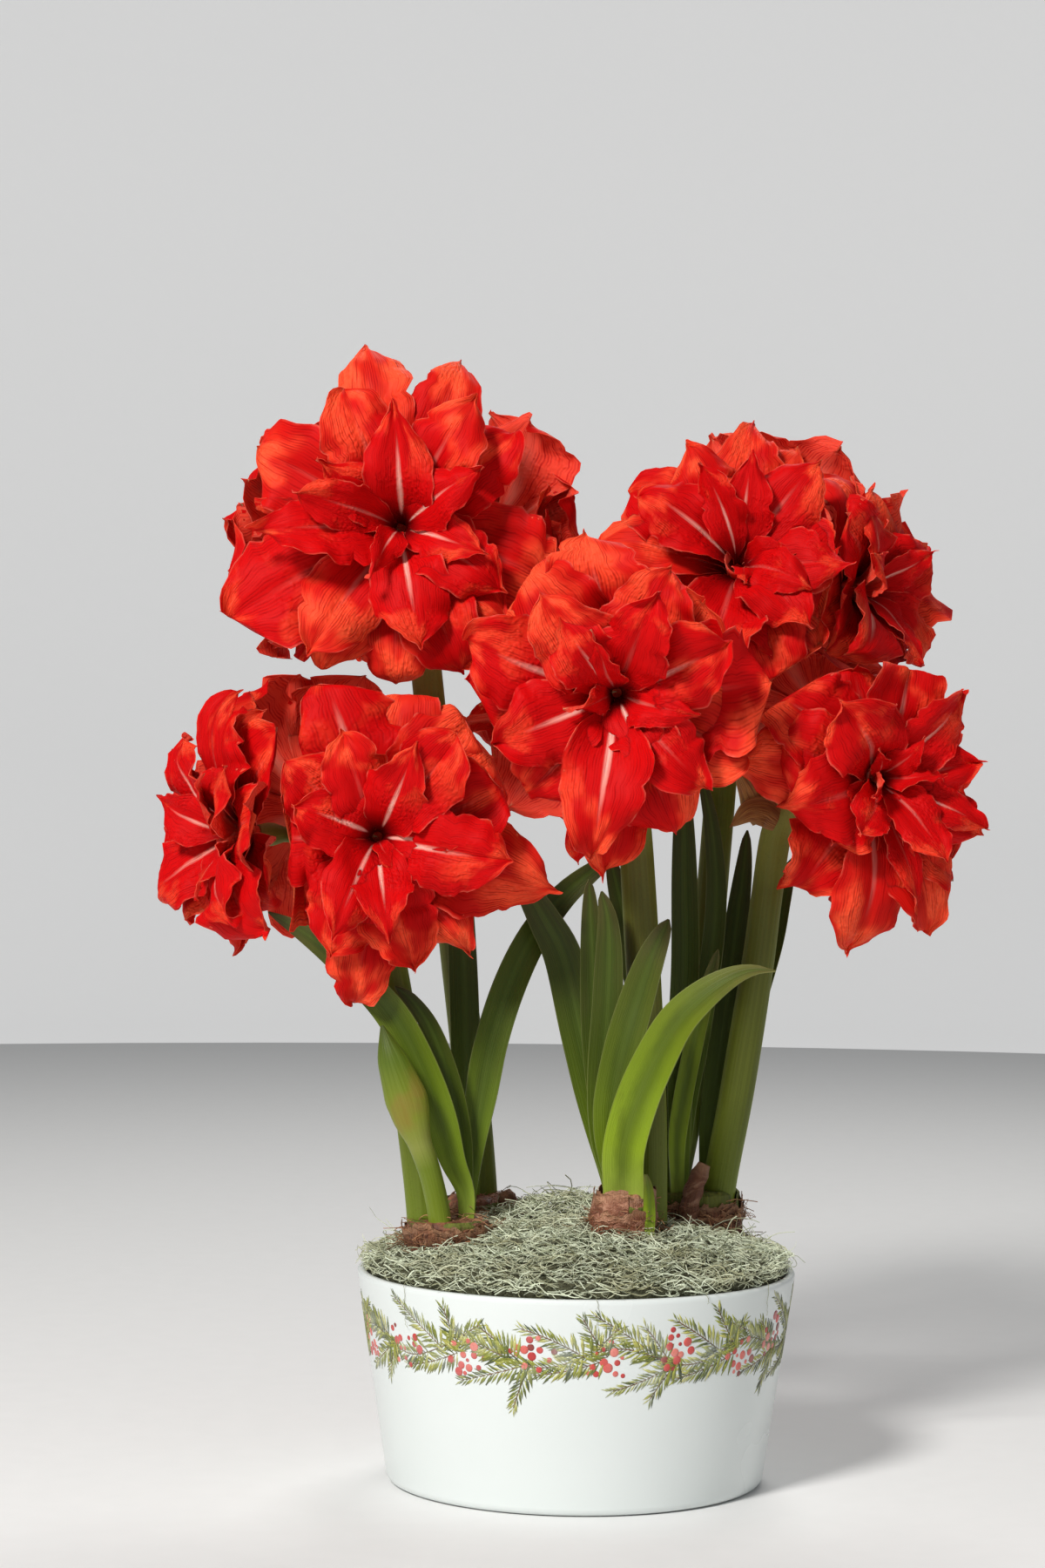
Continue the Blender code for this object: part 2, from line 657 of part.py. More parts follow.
def make_pedicel(bloom, order, material):
    """A flower's own stalk, from the top of the scape to the end of its ovary."""
    axis = facing(*bloom.heading)
    route = SCAPES[bloom.scape].route
    top = Vector(route[-1])
    grow = (top - Vector(route[-2])).normalized()
    start = top - grow * (PEDICEL_FROM + PEDICEL_STEP * order)
    end = bloom_foot(bloom) - axis * GAP
    neck = end - axis * OVARY_LENGTH
    pull = (neck - start).length * PEDICEL_PULL
    first = start + grow * pull
    second = neck - axis * pull
    points = []
    for step in range(PEDICEL_BENDS):
        t = step / PEDICEL_BENDS
        points.append(start * (1 - t) ** 3 + first * 3 * t * (1 - t) ** 2
                      + second * 3 * t * t * (1 - t) + neck * t ** 3)
    points += [neck, neck + axis * OVARY_LENGTH * 0.5, end]
    rings = []
    side = axis.orthogonal().normalized()
    for point, along, radius in zip(points, tangents(points), PEDICEL_RADII):
        side = (side - along * side.dot(along)).normalized()
        other = along.cross(side)
        ring = []
        for index in range(PEDICEL_SIDES):
            angle = math.tau * index / PEDICEL_SIDES
            ring.append(point + (side * math.cos(angle) + other * math.sin(angle)) * radius)
        rings.append(ring)
    rings[-1] = [point - axis * (point - end).dot(axis) for point in rings[-1]]
    return loft("pedicel", rings, material)


def make_scape(name, material):
    scape = SCAPES[name]
    foot = Vector(scape.route[0])
    foot.z = scape_foot(scape)
    radii = [(scape.base_radius, scape.base_radius)]
    for index in range(SCAPE_RINGS):
        radius = scape.base_radius + (scape.top_radius - scape.base_radius) * index / (SCAPE_RINGS - 1)
        radii.append((radius, radius))
    rings = tube_rings([foot] + smooth_route(scape.route, SCAPE_RINGS), radii, SCAPE_SIDES)
    rings[0] = circle(foot, scape.base_radius, scape.base_radius, foot.z, SCAPE_SIDES)
    item = loft("scape_" + name, rings, material)
    carried = [bloom for bloom in BLOOMS.values() if bloom.scape == name]
    stalks = [make_pedicel(bloom, order, material) for order, bloom in enumerate(carried)]
    combine(item, stalks, "UNION")


def cell_centre(bloom):
    return Vector(bloom.throat) + facing(*bloom.heading) * CELL_LEAD


def bloom_cell(name):
    """Planes halfway to each other bloom, which the petals press against."""
    own = cell_centre(BLOOMS[name])
    planes = [(Vector(normal), reach) for normal, reach in BLOOM_BARS.get(name, [])]
    for other_name, other in BLOOMS.items():
        away = cell_centre(other) - own
        if other_name != name and away.length < CELL_RANGE:
            normal = away.normalized()
            planes.append((normal, normal.dot(own) + away.length / 2 - NEIGHBOUR_GAP))
    return planes


def room_left(points, planes):
    """How far the points stay inside the planes; below 0 is how far they cross."""
    return min((reach - normal.dot(point) for point in points for normal, reach in planes), default=SOFT_EDGE)


def held_inside(point, planes):
    """Bend a point back from the planes that it would cross."""
    for _ in range(PRESS_PASSES):
        for normal, reach in planes:
            room = reach - normal.dot(point)
            if room < SOFT_EDGE:
                point = point + normal * (room - SOFT_EDGE * math.exp(room / SOFT_EDGE - 1))
    return point


def reach_towards(reach, angle):
    """Size of a petal that points at an angle, against a full bloom's."""
    right, up, left, down = reach
    level = right if math.cos(angle) > 0 else left
    upright = up if math.sin(angle) > 0 else down
    return (level * math.cos(angle) ** 2 + upright * math.sin(angle) ** 2) / FULL_REACH


def petal_lines(frame, whorl, angle, size, shape):
    """Midrib, margins and front of one petal at its stations.

    shape gives the petal's own length, bend, cup, side lean and ruffle.
    """
    foot = math.radians(whorl["foot"] + shape["bend"] * 0.4)
    tip = math.radians(whorl["tip"] + shape["bend"])
    length = whorl["length"] * size * shape["length"]
    width = whorl["width"] * (0.3 + 0.7 * size) * shape["width"]
    outward = Vector((math.cos(angle), math.sin(angle), 0))
    across = Vector((-math.sin(angle), math.cos(angle), 0))
    radius, height, last = PETAL_START, whorl["rise"], 0.0
    middles, lefts, rights, fronts = [], [], [], []
    for index, t in enumerate(whorl["stations"]):
        stretch = (t - last) / PETAL_STEPS
        for step in range(PETAL_STEPS):
            lean = foot + (tip - foot) * (last + stretch * (step + 0.5))
            radius += math.sin(lean) * length * stretch
            height += math.cos(lean) * length * stretch
        last = t
        lean = foot + (tip - foot) * t
        front = UP * math.sin(lean) - outward * math.cos(lean)
        middle = outward * radius + UP * height + across * (shape["lean"] * width * t * t)
        fullness = PETAL_CLAW + (1 - PETAL_CLAW) * max(math.sin(math.pi * t ** 0.92), 0.0) ** 0.8
        half = width / 2 * fullness if t < 1 else 0.0
        cup = math.radians(shape["cup"] * (1 - 0.5 * t))
        wave = shape["ruffle"] * width * (1 if index % 2 else -1) * smooth_step(t / 0.4)
        left = middle - across * (half * math.cos(cup)) + front * (half * math.sin(cup) + wave)
        right = middle + across * (half * math.cos(cup)) + front * (half * math.sin(cup) - wave * 0.6)
        middles.append(frame @ middle)
        lefts.append(frame @ left)
        rights.append(frame @ right)
        fronts.append((frame.to_3x3() @ front).normalized())
    return middles, lefts, rights, fronts


def bloom_frame(bloom):
    """Local X to the viewer's right, Y up, Z out of the throat."""
    axis = facing(*bloom.heading)
    upward = (UP - axis * UP.dot(axis)).normalized()
    rightward = upward.cross(axis)
    frame = Matrix((rightward, upward, axis)).transposed().to_4x4()
    frame.translation = bloom_foot(bloom)
    return frame


def make_petal(frame, planes, whorl, angle, size, draw, material):
    """One petal, shortened until it stays near its bloom's own room."""
    shape = {
        "length": draw.uniform(0.92, 1.06), "width": draw.uniform(0.9, 1.08),
        "bend": draw.uniform(-9, 9), "cup": draw.uniform(8, 26),
        "lean": draw.uniform(-0.16, 0.16), "ruffle": draw.uniform(0.03, 0.08),
    }
    for _ in range(PETAL_TRIES):
        middles, lefts, rights, fronts = petal_lines(frame, whorl, angle, size, shape)
        if room_left(middles + lefts + rights, planes) > -OVERREACH:
            break
        shape["length"] *= PETAL_SHORTER
    middles = [held_inside(point, planes) for point in middles]
    lefts = [held_inside(point, planes) for point in lefts]
    rights = [held_inside(point, planes) for point in rights]
    last = len(middles) - 1
    thicks = [PETAL_THICK + (PETAL_TIP_THICK - PETAL_THICK) * row / last for row in range(last + 1)]
    return blade("petal", middles, lefts, rights, fronts, thicks, material, 0)


def make_bloom(name, seed, material):
    bloom = BLOOMS[name]
    draw = random.Random(seed)
    frame = bloom_frame(bloom)
    planes = bloom_cell(name)
    core_rings = []
    for radius, height in CORE_OUTLINE:
        core_rings.append([frame @ Vector(point) for point in round_ring(radius, height, CORE_SIDES)])
    core = loft("bloom_" + name, core_rings, material)
    petals = []
    for level, (whorl, count) in enumerate(zip(WHORLS, bloom.petals)):
        for index in range(count):
            degrees = bloom.turn + WHORL_TURN * level + 360 * index / count + draw.uniform(-7, 7)
            angle = math.radians(degrees)
            size = reach_towards(bloom.reach, angle)
            petals.append(make_petal(frame, planes, whorl, angle, size, draw, material))
    combine(core, petals, "UNION")


def make_spathe(name, material):
    spathe = SPATHES[name]
    middles = smooth_route(spathe.route, SPATHE_RINGS)
    lefts, rights, fronts, thicks = [], [], [], []
    for index, (middle, along) in enumerate(zip(middles, tangents(middles))):
        t = index / (SPATHE_RINGS - 1)
        side = along.cross(SPATHE_HINT).normalized()
        front = side.cross(along).normalized()
        fullness = max(math.sin(math.pi * min(0.15 + 0.85 * t, 1)), 0.0) ** 0.7
        half = spathe.half_width * (SPATHE_FOOT_SHARE + (1 - SPATHE_FOOT_SHARE) * fullness)
        fold = front * (half * SPATHE_FOLD)
        lefts.append(middle - side * half - fold)
        rights.append(middle + side * half - fold)
        fronts.append(front)
        thicks.append(SPATHE_THICK + (SPATHE_TIP_THICK - SPATHE_THICK) * t)
    return blade(name, middles, lefts, rights, fronts, thicks, material, SPATHE_EDGE_SHARE)


def build():
    clear_scene()
    glaze = make_material("white_glaze", (0.86, 0.88, 0.87), 0.25)
    earth = make_material("soil", (0.05, 0.035, 0.025), 0.95)
    moss = make_material("moss", (0.26, 0.29, 0.22), 0.95)
    tunic = make_material("bulb_tunic", (0.16, 0.07, 0.03), 0.8)
    stem = make_material("scape_green", (0.10, 0.12, 0.02), 0.45)
    leaf = make_material("leaf_green", (0.08, 0.13, 0.015), 0.42)
    petal = make_material("petal_red", (0.62, 0.03, 0.012), 0.5)
    husk = make_material("spathe_brown", (0.16, 0.07, 0.02), 0.7)
    make_pot(glaze)
    make_soil(earth)
    make_moss(moss)
    make_bulbs(tunic)
    for name in SCAPES:
        make_scape(name, stem)
    make_bud(stem)
    for name in LEAVES:
        make_leaf(name, leaf)
    for seed, bloom in enumerate(BLOOMS):
        make_bloom(bloom, BLOOM_SEED + seed, petal)
    for name in SPATHES:
        make_spathe(name, husk)


build()
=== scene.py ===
"""Looks of a double amaryllis in a low round pot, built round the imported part.

Sizes are in millimetres until a mesh is made; meshes are in metres. The origin
is the centre of the pot's underside, +Z is up and -Y is the front.
"""
import json
import math
import random

import bpy
import numpy as np
from mathutils import Matrix

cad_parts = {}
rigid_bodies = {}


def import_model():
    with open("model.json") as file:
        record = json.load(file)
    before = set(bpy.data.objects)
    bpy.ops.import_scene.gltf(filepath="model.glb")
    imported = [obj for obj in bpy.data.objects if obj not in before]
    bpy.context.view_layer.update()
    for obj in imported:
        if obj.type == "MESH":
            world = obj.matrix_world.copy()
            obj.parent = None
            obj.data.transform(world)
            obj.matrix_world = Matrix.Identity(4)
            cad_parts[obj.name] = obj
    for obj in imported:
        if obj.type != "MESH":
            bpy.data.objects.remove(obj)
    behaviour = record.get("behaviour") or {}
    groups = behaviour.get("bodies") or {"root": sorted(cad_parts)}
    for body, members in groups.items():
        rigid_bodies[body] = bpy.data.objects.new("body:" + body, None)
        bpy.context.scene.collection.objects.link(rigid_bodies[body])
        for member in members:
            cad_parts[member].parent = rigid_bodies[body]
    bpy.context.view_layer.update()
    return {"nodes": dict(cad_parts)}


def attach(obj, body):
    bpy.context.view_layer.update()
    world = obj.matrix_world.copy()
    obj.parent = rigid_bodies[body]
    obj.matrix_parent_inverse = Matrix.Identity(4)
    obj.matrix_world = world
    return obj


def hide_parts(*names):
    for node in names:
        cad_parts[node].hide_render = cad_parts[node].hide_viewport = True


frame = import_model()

MM = 0.001
FULL_TURN = 6.2832
UP = np.array((0.0, 0.0, 1.0))
FRONT = np.array((0.0, -1.0, 0.0))

# Seeds of the random draws
BLOOM_SEED, SCAPE_SEED, LEAF_SEED, SPATHE_SEED, NECK_SEED = 500, 700, 800, 900, 950
HANGING_SEED, GARLAND_SEED = 41, 77

# Blooms: scape, throat, heading (degrees to the right of the front, degrees
# up), reach to the right, up, left and down, and the turn of the first petal
FULL_REACH = 92.0
THROAT_DEPTH = 18.0
OVARY_LENGTH = 15.0
BLOOMS = {
    "upper_left_front": ("upper_left", (-97, -20, 506), (0, 6), (86, 92, 96, 82), 80),
    "upper_left_side": ("upper_left", (-146, 72, 505), (-128, 2), (78, 70, 80, 78), 20),
    "upper_left_back": ("upper_left", (-40, 78, 508), (132, 6), (80, 74, 60, 78), 50),
    "upper_right_front": ("upper_right", (83, -15, 489), (3, 20), (86, 78, 74, 74), 85),
    "upper_right_side": ("upper_right", (156, 32, 478), (58, 2), (76, 62, 78, 74), 40),
    "upper_right_back": ("upper_right", (106, 104, 508), (165, 10), (74, 68, 78, 80), 10),
    "centre_front": ("centre", (16, -85, 416), (-4, -8), (80, 78, 84, 95), 95),
    "centre_back": ("centre", (8, 62, 414), (176, 4), (76, 84, 80, 74), 30),
    "lower_left_front": ("lower_left", (-106, -60, 342), (2, 0), (92, 90, 80, 84), 60),
    "lower_left_side": ("lower_left", (-187, -29, 342), (-62, 0), (74, 74, 78, 66), 40),
    "lower_left_back": ("lower_left", (-150, 52, 358), (-158, 8), (78, 78, 78, 70), 45),
    "lower_right_front": ("lower_right", (157, -27, 375), (26, -2), (70, 78, 76, 90), 75),
    "lower_right_top": ("lower_right", (128, 52, 418), (-170, 30), (72, 74, 72, 74), 55),
    "lower_right_side": ("lower_right", (172, 64, 369), (126, 0), (70, 62, 68, 74), 5),
}

# Planes that keep a bloom off another head's scape: outward normal and reach
BLOOM_BARS = {"lower_right_top": [((-1, 0, 0), -91.0)]}

# Petals of the blooms that face the front, in lists from the outermost whorl inwards: angle,
# reach, width, and where they differ from PLAIN_PETAL the twist in degrees and the pale streak's strength
PLAIN_PETAL = (0, 0.1)
PETALS = {
    "upper_left_front": [
        [(104, 103, 44), (69, 97, 40, 6), (206, 108, 66, -6), (345, 86, 64, 6), (268, 86, 44),
         (152, 107, 50, 24), (128, 72, 46, -10), (308, 92, 50), (171, 110, 13, 50), (223, 104, 17, 60),
         (233, 108, 17, -40), (245, 88, 44)],
        [(40, 80, 48, 0, 0.2), (290, 86, 44, -8, 0.2), (235, 84, 46, 10, 0.2), (316, 78, 46, 6),
         (118, 78, 46, -8, 0.2)],
        [(62, 76, 44, 6, 0.3), (192, 76, 50, -8, 0.2), (330, 66, 42, 8, 0.3), (277, 70, 42, 0, 1.0)],
        [(86, 60, 42, 0, 1.0), (143, 52, 32, -14, 1.0), (27, 50, 32, 10, 0.9), (336, 50, 32, -8, 0.8),
         (168, 56, 28, 30, 0.3)],
        [(243, 38, 20, 60, 0.6), (262, 16, 8, 40, 0.2)],
    ],
    "centre_front": [
        [(98, 82, 58, 0, 0.8), (122, 86, 50, 8), (40, 80, 56, 10), (0, 86, 74), (334, 80, 52, 8),
         (268, 96, 44), (205, 76, 56, -8), (180, 80, 54), (148, 88, 56, 0, 0.2)],
        [(258, 92, 24, 26), (233, 74, 50, 0, 0.2), (300, 76, 50, -8), (164, 82, 52, 6, 0.8), (68, 70, 48)],
        [(120, 66, 46), (200, 66, 46, 0, 0.9), (318, 66, 38, 18, 0.2), (267, 82, 52, 0, 1.0),
         (23, 64, 46, -6, 0.9)],
        [(72, 60, 40, 14), (122, 50, 36, 0, 0.9), (296, 46, 34, 8, 0.9), (345, 44, 28, 20, 0.2)],
        [(104, 38, 22, 70, 0.2), (190, 26, 16, 80)],
    ],
    "lower_left_front": [
        [(107, 95, 66, 0, 1.0), (80, 84, 46), (54, 86, 50), (30, 84, 46), (347, 96, 58), (314, 76, 46),
         (266, 86, 40, 14), (208, 74, 54), (165, 82, 56), (191, 104, 74, 8)],
        [(16, 80, 50), (284, 72, 44, -6), (243, 66, 44), (186, 76, 54, 0, 0.4)],
        [(47, 72, 40, 8, 0.2), (345, 70, 44, 0, 0.9), (140, 64, 44, -10, 0.2), (112, 58, 36)],
        [(62, 52, 36, 0, 1.0), (355, 48, 30, 0, 1.0), (275, 54, 34, 0, 1.0), (240, 56, 34, 10, 0.7),
         (152, 46, 38, -24, 1.0)],
        [(292, 18, 12, 40)],
    ],
    "upper_right_front": [
        [(87, 90, 46), (62, 82, 38), (140, 76, 48), (332, 92, 60), (305, 80, 52), (283, 76, 44),
         (168, 76, 42), (215, 66, 48)],
        [(5, 84, 54), (116, 70, 44), (250, 64, 46), (32, 80, 48, 0, 1.0)],
        [(55, 66, 40, 0, 0.3), (148, 62, 38, 0, 0.8), (345, 60, 42), (310, 56, 42)],
        [(90, 52, 32, 0, 1.0), (115, 48, 24, 40, 0.9), (330, 42, 30, -20), (10, 28, 22, -30)],
        [(275, 18, 12, 50)],
    ],
    "lower_right_front": [
        [(140, 86, 56, 0, 0.9), (105, 74, 46), (240, 74, 66), (269, 93, 46, 0, 0.3), (318, 80, 46, 20),
         (300, 92, 46), (52, 70, 46), (32, 58, 44), (350, 61, 52), (172, 78, 46)],
        [(287, 80, 22, 30), (80, 80, 50, 0, 0.7), (168, 66, 48), (200, 64, 52), (329, 68, 38, 0, 0.2)],
        [(54, 62, 36, -20, 1.0), (10, 52, 34, 0, 0.3), (335, 62, 30, 10, 1.0), (130, 56, 48, 20, 0.3),
         (225, 46, 36)],
        [(300, 48, 30, 12, 0.3), (240, 36, 28)],
        [(60, 26, 18, 60, 0.2), (0, 26, 18, 80), (200, 24, 14, 50, 0.4), (130, 20, 12, 70, 0.3)],
    ],
}

# Whorls: how far a petal leans from the bloom's axis at its foot and at its
# tip, how far up the throat it starts, and its width in a bloom made by rule
WHORLS = (
    {"foot": 60, "tip": 112, "rise": 2, "width": 66},
    {"foot": 44, "tip": 104, "rise": 5, "width": 60},
    {"foot": 28, "tip": 94, "rise": 8, "width": 50},
    {"foot": 18, "tip": 80, "rise": 11, "width": 30},
    {"foot": 8, "tip": 60, "rise": 14, "width": 18},
)
RULE_COUNTS = (5, 5, 4, 3)
RULE_REACH = (1.0, 0.94, 0.8, 0.55)
RULE_STRIPS = 3
FRONT_PETAL_GRID = (36, 17)
RULE_PETAL_GRID = (27, 13)
STRIP_WIDTH = 24.0
STRIP_COLUMNS = 9
POINTED_SHARE = (0.05, 0.15, 0.38, 0.7, 0.9)
PETAL_START = 3.0
PETAL_THICK = 0.6
CELL_LEAD = 8.0
NEIGHBOUR_GAP = 1.4
SOFT_EDGE = 8.0
OVERREACH = 12.0
SHORTENINGS = 5

# Scapes: base and top radius, tone from green (0) to brown (1), and route
SCAPES = {
    "upper_left": ((9.4, 8.2), 0.75, [
        (-52, 52, 120), (-52, 52, 142), (-57.5, 52, 202), (-67.5, 50, 282), (-76, 48, 355), (-84, 45, 427),
        (-88, 40, 466)]),
    "upper_right": ((9.4, 8.0), 0.1, [
        (53, 51.5, 128), (53, 51.5, 150), (65, 58, 212), (72, 61, 284), (79, 56, 381), (82, 44, 440),
        (82, 36, 462)]),
    "centre": ((9.3, 9.0), 0.9, [
        (39, -3, 128), (39, -3, 140), (38, -4, 208), (31, -4, 320), (28, -4, 357), (26, -5, 380)]),
    "lower_left": ((9.3, 8.6), 0.2, [
        (-81, -20, 118), (-81, -20, 140), (-87, -20, 190), (-96, -17, 250), (-107, -10, 305),
        (-114, -5, 328)]),
    "lower_right": ((9.6, 8.4), 0.6, [
        (78, 36, 128), (78, 36, 150), (87, 29, 204), (97, 24, 272), (101, 21, 306), (106, 20, 343),
        (113, 20, 360)]),
}

# The bud: route, and its radius across and through
BUD_ROUTE = [(-72, -35.5, 120), (-72.5, -36, 142), (-77, -43, 165), (-83, -48, 183), (-87, -50.5, 195),
             (-90, -52, 206), (-98, -53, 228), (-103, -53, 244)]
BUD_RADII = [(6.0, 5.6), (6.0, 5.6), (5.9, 5.5), (6.2, 5.7), (9.6, 7.2), (11.4, 7.8), (7.6, 5.2), (0.8, 0.7)]
BUD_ROWS = 44

# Leaves: foot height, half width, turn of the blade at foot and tip, painted light from
# shaded (0) to lit (1), and the route of the midrib
LEAVES = {
    "left_arching": (129.5, 9.5, 0, 30, 0.5, [
        (-59, -22, 153), (-66, -29, 172), (-73, -36, 196), (-84, -37, 224), (-97, -38, 248),
        (-112, -39, 265), (-131, -42, 282), (-148, -44, 294), (-163, -46, 302)]),
    "left_short": (129.5, 6.2, 0, 20, 0.2, [
        (-59.5, -17.8, 153), (-63, -18.5, 190), (-69, -23, 216), (-78, -28, 241), (-88, -32, 256),
        (-97, -33, 263)]),
    "left_crossing": (129.5, 9.0, 0, -15, 0.25, [
        (-57, -13, 155), (-55, -12, 180), (-52, -11, 202), (-47, -9, 231), (-38, -6, 261),
        (-26, -2, 287), (-11, 2, 308), (3, 4, 321), (20, 7, 333)]),
    "back_upright": (131.5, 8.0, 0, 15, 0.1, [
        (-58, 37.5, 155), (-60, 37, 195), (-61, 35, 237), (-63, 34, 284), (-65, 32, 323), (-67, 30, 356)]),
    "front_far_left": (139.5, 11.0, 0, 10, 0.15, [
        (21.5, -15, 156), (13, -13, 191), (2, -11, 236), (-8, -10, 277),
        (-18, -11, 297), (-27, -13, 312), (-35, -16, 324)]),
    "front_slim": (139.5, 7.0, 0, 10, 0.1, [
        (20, -18.6, 158), (14.5, -19.2, 190), (9, -19.2, 230), (6.5, -20, 282), (4.5, -21, 320)]),
    "front_upright": (139.5, 8.4, 0, 10, 0.15, [
        (20, -22, 158), (14, -24.5, 185), (13, -26.5, 217), (15, -28, 257), (15, -28, 295), (11, -28, 314)]),
    "front_middle": (139.5, 10.0, 0, 15, 0.45, [
        (22, -25.5, 159), (18, -30, 182), (18, -34, 205), (23, -37, 232), (30, -37, 257),
        (37, -39, 279), (46, -40, 300)]),
    "front_arching": (139.5, 11.5, 0, 42, 1.0, [
        (24, -29.2, 157), (24, -37, 180), (31, -46, 207), (42, -53, 232), (52, -58, 249),
        (65, -62, 262), (78, -65, 271), (89, -67, 275), (100, -69, 275)]),
    "right_far_left": (139.5, 7.5, 0, 0, 0.05, [
        (55, 36.6, 153), (50, 38, 180), (40, 39, 228), (28, 37, 285), (20, 35, 318), (16, 34, 335)]),
    "right_tall": (139.5, 6.0, 0, 20, 0.1, [
        (57, 33, 153), (60, 33, 195), (67, 33, 238), (73, 30, 280), (75, 28.5, 314), (72, 26, 348),
        (65, 24, 379)]),
    "right_slim": (139.5, 7.6, 0, 5, 0.1, [
        (56, 29.4, 154), (56, 28.6, 190), (56.5, 26.8, 228), (58, 24, 276),
        (57, 22, 322), (56, 19.5, 357), (55, 18, 380)]),
    "right_low": (139.5, 5.2, 0, 10, 0.9, [
        (55, 25.8, 154), (54.5, 25, 176), (57, 23, 198), (63, 19, 231), (69, 15, 258), (75, 11, 282)]),
    "right_behind": (139.5, 7.0, 0, 15, 0.1, [
        (73, 53, 153), (74, 50, 185), (78, 46, 219), (82, 43, 253), (86, 41, 288), (90, 40, 322),
        (92, 40, 346)]),
    "right_outer": (139.5, 8.0, 0, 20, 0.2, [
        (77, 57, 153), (80, 57, 179), (88, 58, 213), (97, 58, 251), (107, 57, 285), (112, 55, 307),
        (118, 52, 331)]),
}
LEAF_ROWS = 44
LEAF_COLUMNS = 13
LEAF_THICK_BASE = 2.0
LEAF_THICK_TIP = 1.0
LEAF_CHANNEL = 0.22
# Share of a leaf's width at its foot, and how fast its tip narrows, where they differ from the others
LEAF_FOOT_SHARE = 0.68
LEAF_FOOT_SHARES = {
    "front_arching": 0.92, "left_arching": 0.42, "left_crossing": 0.34, "left_short": 0.5, "front_slim": 0.6}
LEAF_TIP_POWER = 0.5
LEAF_TIP_POWERS = {"front_arching": 0.95, "left_arching": 0.7}

# Spathe bracts: half width and route
SPATHES = {
    "lower_right_upper": (10.5, [(100, 8, 352), (94, 4, 366), (87, 1, 376), (79, -1, 383)]),
    "lower_right_lower": (9.0, [(106, 4, 352), (99, -1, 356.5), (90, -5, 356.5), (79.5, -7, 348)]),
    "upper_right": (6.5, [(70.5, 31, 444), (68, 27, 456), (68, 24, 468), (71, 21, 480)]),
}
SPATHE_ROWS = 26

# Bulb necks: centre, radius and top
NECKS = {
    "left": ((-68, -22), 22.0, 140.0),
    "front": ((24, -22), 16.5, 150.0),
    "right": ((65, 43), 25.0, 150.0),
    "back": ((-52, 47), 20.0, 142.0),
}

# Skins that close in round the stems: rise over the neck's top, and inset
NECK_WRAPS = {
    "left": [(-16, -0.4), (-8, -0.3), (-3, 0.1), (-1, 1.3), (0.4, 4.5), (0.8, 9.5), (1.0, 15.5)],
    "front": [(-18, -0.4), (-12, -0.1), (-6, 0.3), (-1, 1.1), (2, 3.1), (4, 5.1), (5, 7.1), (4.0, 9.5),
              (3.0, 12.5)],
    "back": [(-16, -0.4), (-8, -0.5), (-3, -0.1), (0, 1.5), (2.0, 4.5), (3.0, 8.5), (3.4, 14.5)],
}

# Torn scales round a neck: how many, and how far the lowest and highest end over its top
FLAKES = {"left": (8, -9, -1), "front": (11, -8, 10), "right": (16, -15, -3), "back": (10, -8, 1)}
FLAKE_DROP = 24.0
# A pale sheath in front of the front neck's leaves
SHEATH_ROUTE = [(37, -36, 134), (37.5, -37, 146), (37, -36.5, 158), (35.5, -36, 166)]

# Dried stumps of old stalks
STUBS = {
    "right": [(60, 16, 130), (61, 16, 142), (64, 16, 154), (69, 16, 166)],
    "back": [(-33, 36, 126), (-34, 35, 134), (-36, 35, 141), (-39, 35, 148)],
}

# Pot
POT_RIM_RADIUS = 117.0
POT_BASE_RADIUS = 100.0
POT_HEIGHT = 112.0
POT_WALL = 5.0
POT_FLOOR = 6.0
POT_SLOPE = (POT_RIM_RADIUS - POT_BASE_RADIUS) / POT_HEIGHT
POT_SIDES = 160

# Moss mound: height at the pot's rim, rise to the middle and the power of its curve, how far out it
# grows, a heap behind the middle (place, height, spread), and how low a strand may settle at the rim
MOSS_EDGE_TOP = 115.0
MOSS_RISE = 21.0
MOSS_REACH = 114.0
MOSS_HEAP = (-6.0, 28.0, 11.0, 32.0)
MOSS_SETTLE = 113.5
MOSS_POWER = 2.4
MOSS_STEP = 4.0
CURL_POINTS = 12

# Ring of moss that lies against the pot's rim: inner and outer radius, and height there
RIM_INNER = (106.5, 116.5)
RIM_OUTER = (112.6, 111.8)
RIM_SETTLE = 112.4
HANGING_STRANDS = [(-50, 24), (4, 22), (33, 7), (57, 18), (130, 14), (215, 18)]

# Nests of brown fibres round the necks: height at the middle, height at the
# outside, and how far the nest spreads past the neck
NESTS = {
    "left": (141.5, 127.0, 4.0),
    "front": (149.0, 134.0, 3.0),
    "right": (147.5, 134.0, 3.0),
    "back": (143.0, 130.0, 4.0),
}


SHEATH_HALF_WIDTH = 3.2
class Flow:
    """A node's output; operators on it add Math nodes to its tree."""

    def __init__(self, graph, socket):
        self.graph = graph
        self.socket = socket

    def math(self, operation, *others):
        return self.graph.math(operation, self, *others)

    def fade(self, start, end):
        """0 before start and 1 after end, or the other way round."""
        return self.graph.node("ShaderNodeMapRange", {"interpolation_type": "SMOOTHSTEP"},
                               {"Value": self, "From Min": start, "From Max": end})

    def output(self, name):
        return Flow(self.graph, self.socket.node.outputs[name])


def add_operator(sign, operation):
    """Give Flow an operator, and its reflected form for a number on the left."""
    setattr(Flow, f"__{sign}__", lambda self, other: self.graph.math(operation, self, other))
    setattr(Flow, f"__r{sign}__", lambda self, other: self.graph.math(operation, other, self))


for sign, operation in (
        ("add", "ADD"), ("sub", "SUBTRACT"), ("mul", "MULTIPLY"), ("truediv", "DIVIDE"), ("pow", "POWER")):
    add_operator(sign, operation)


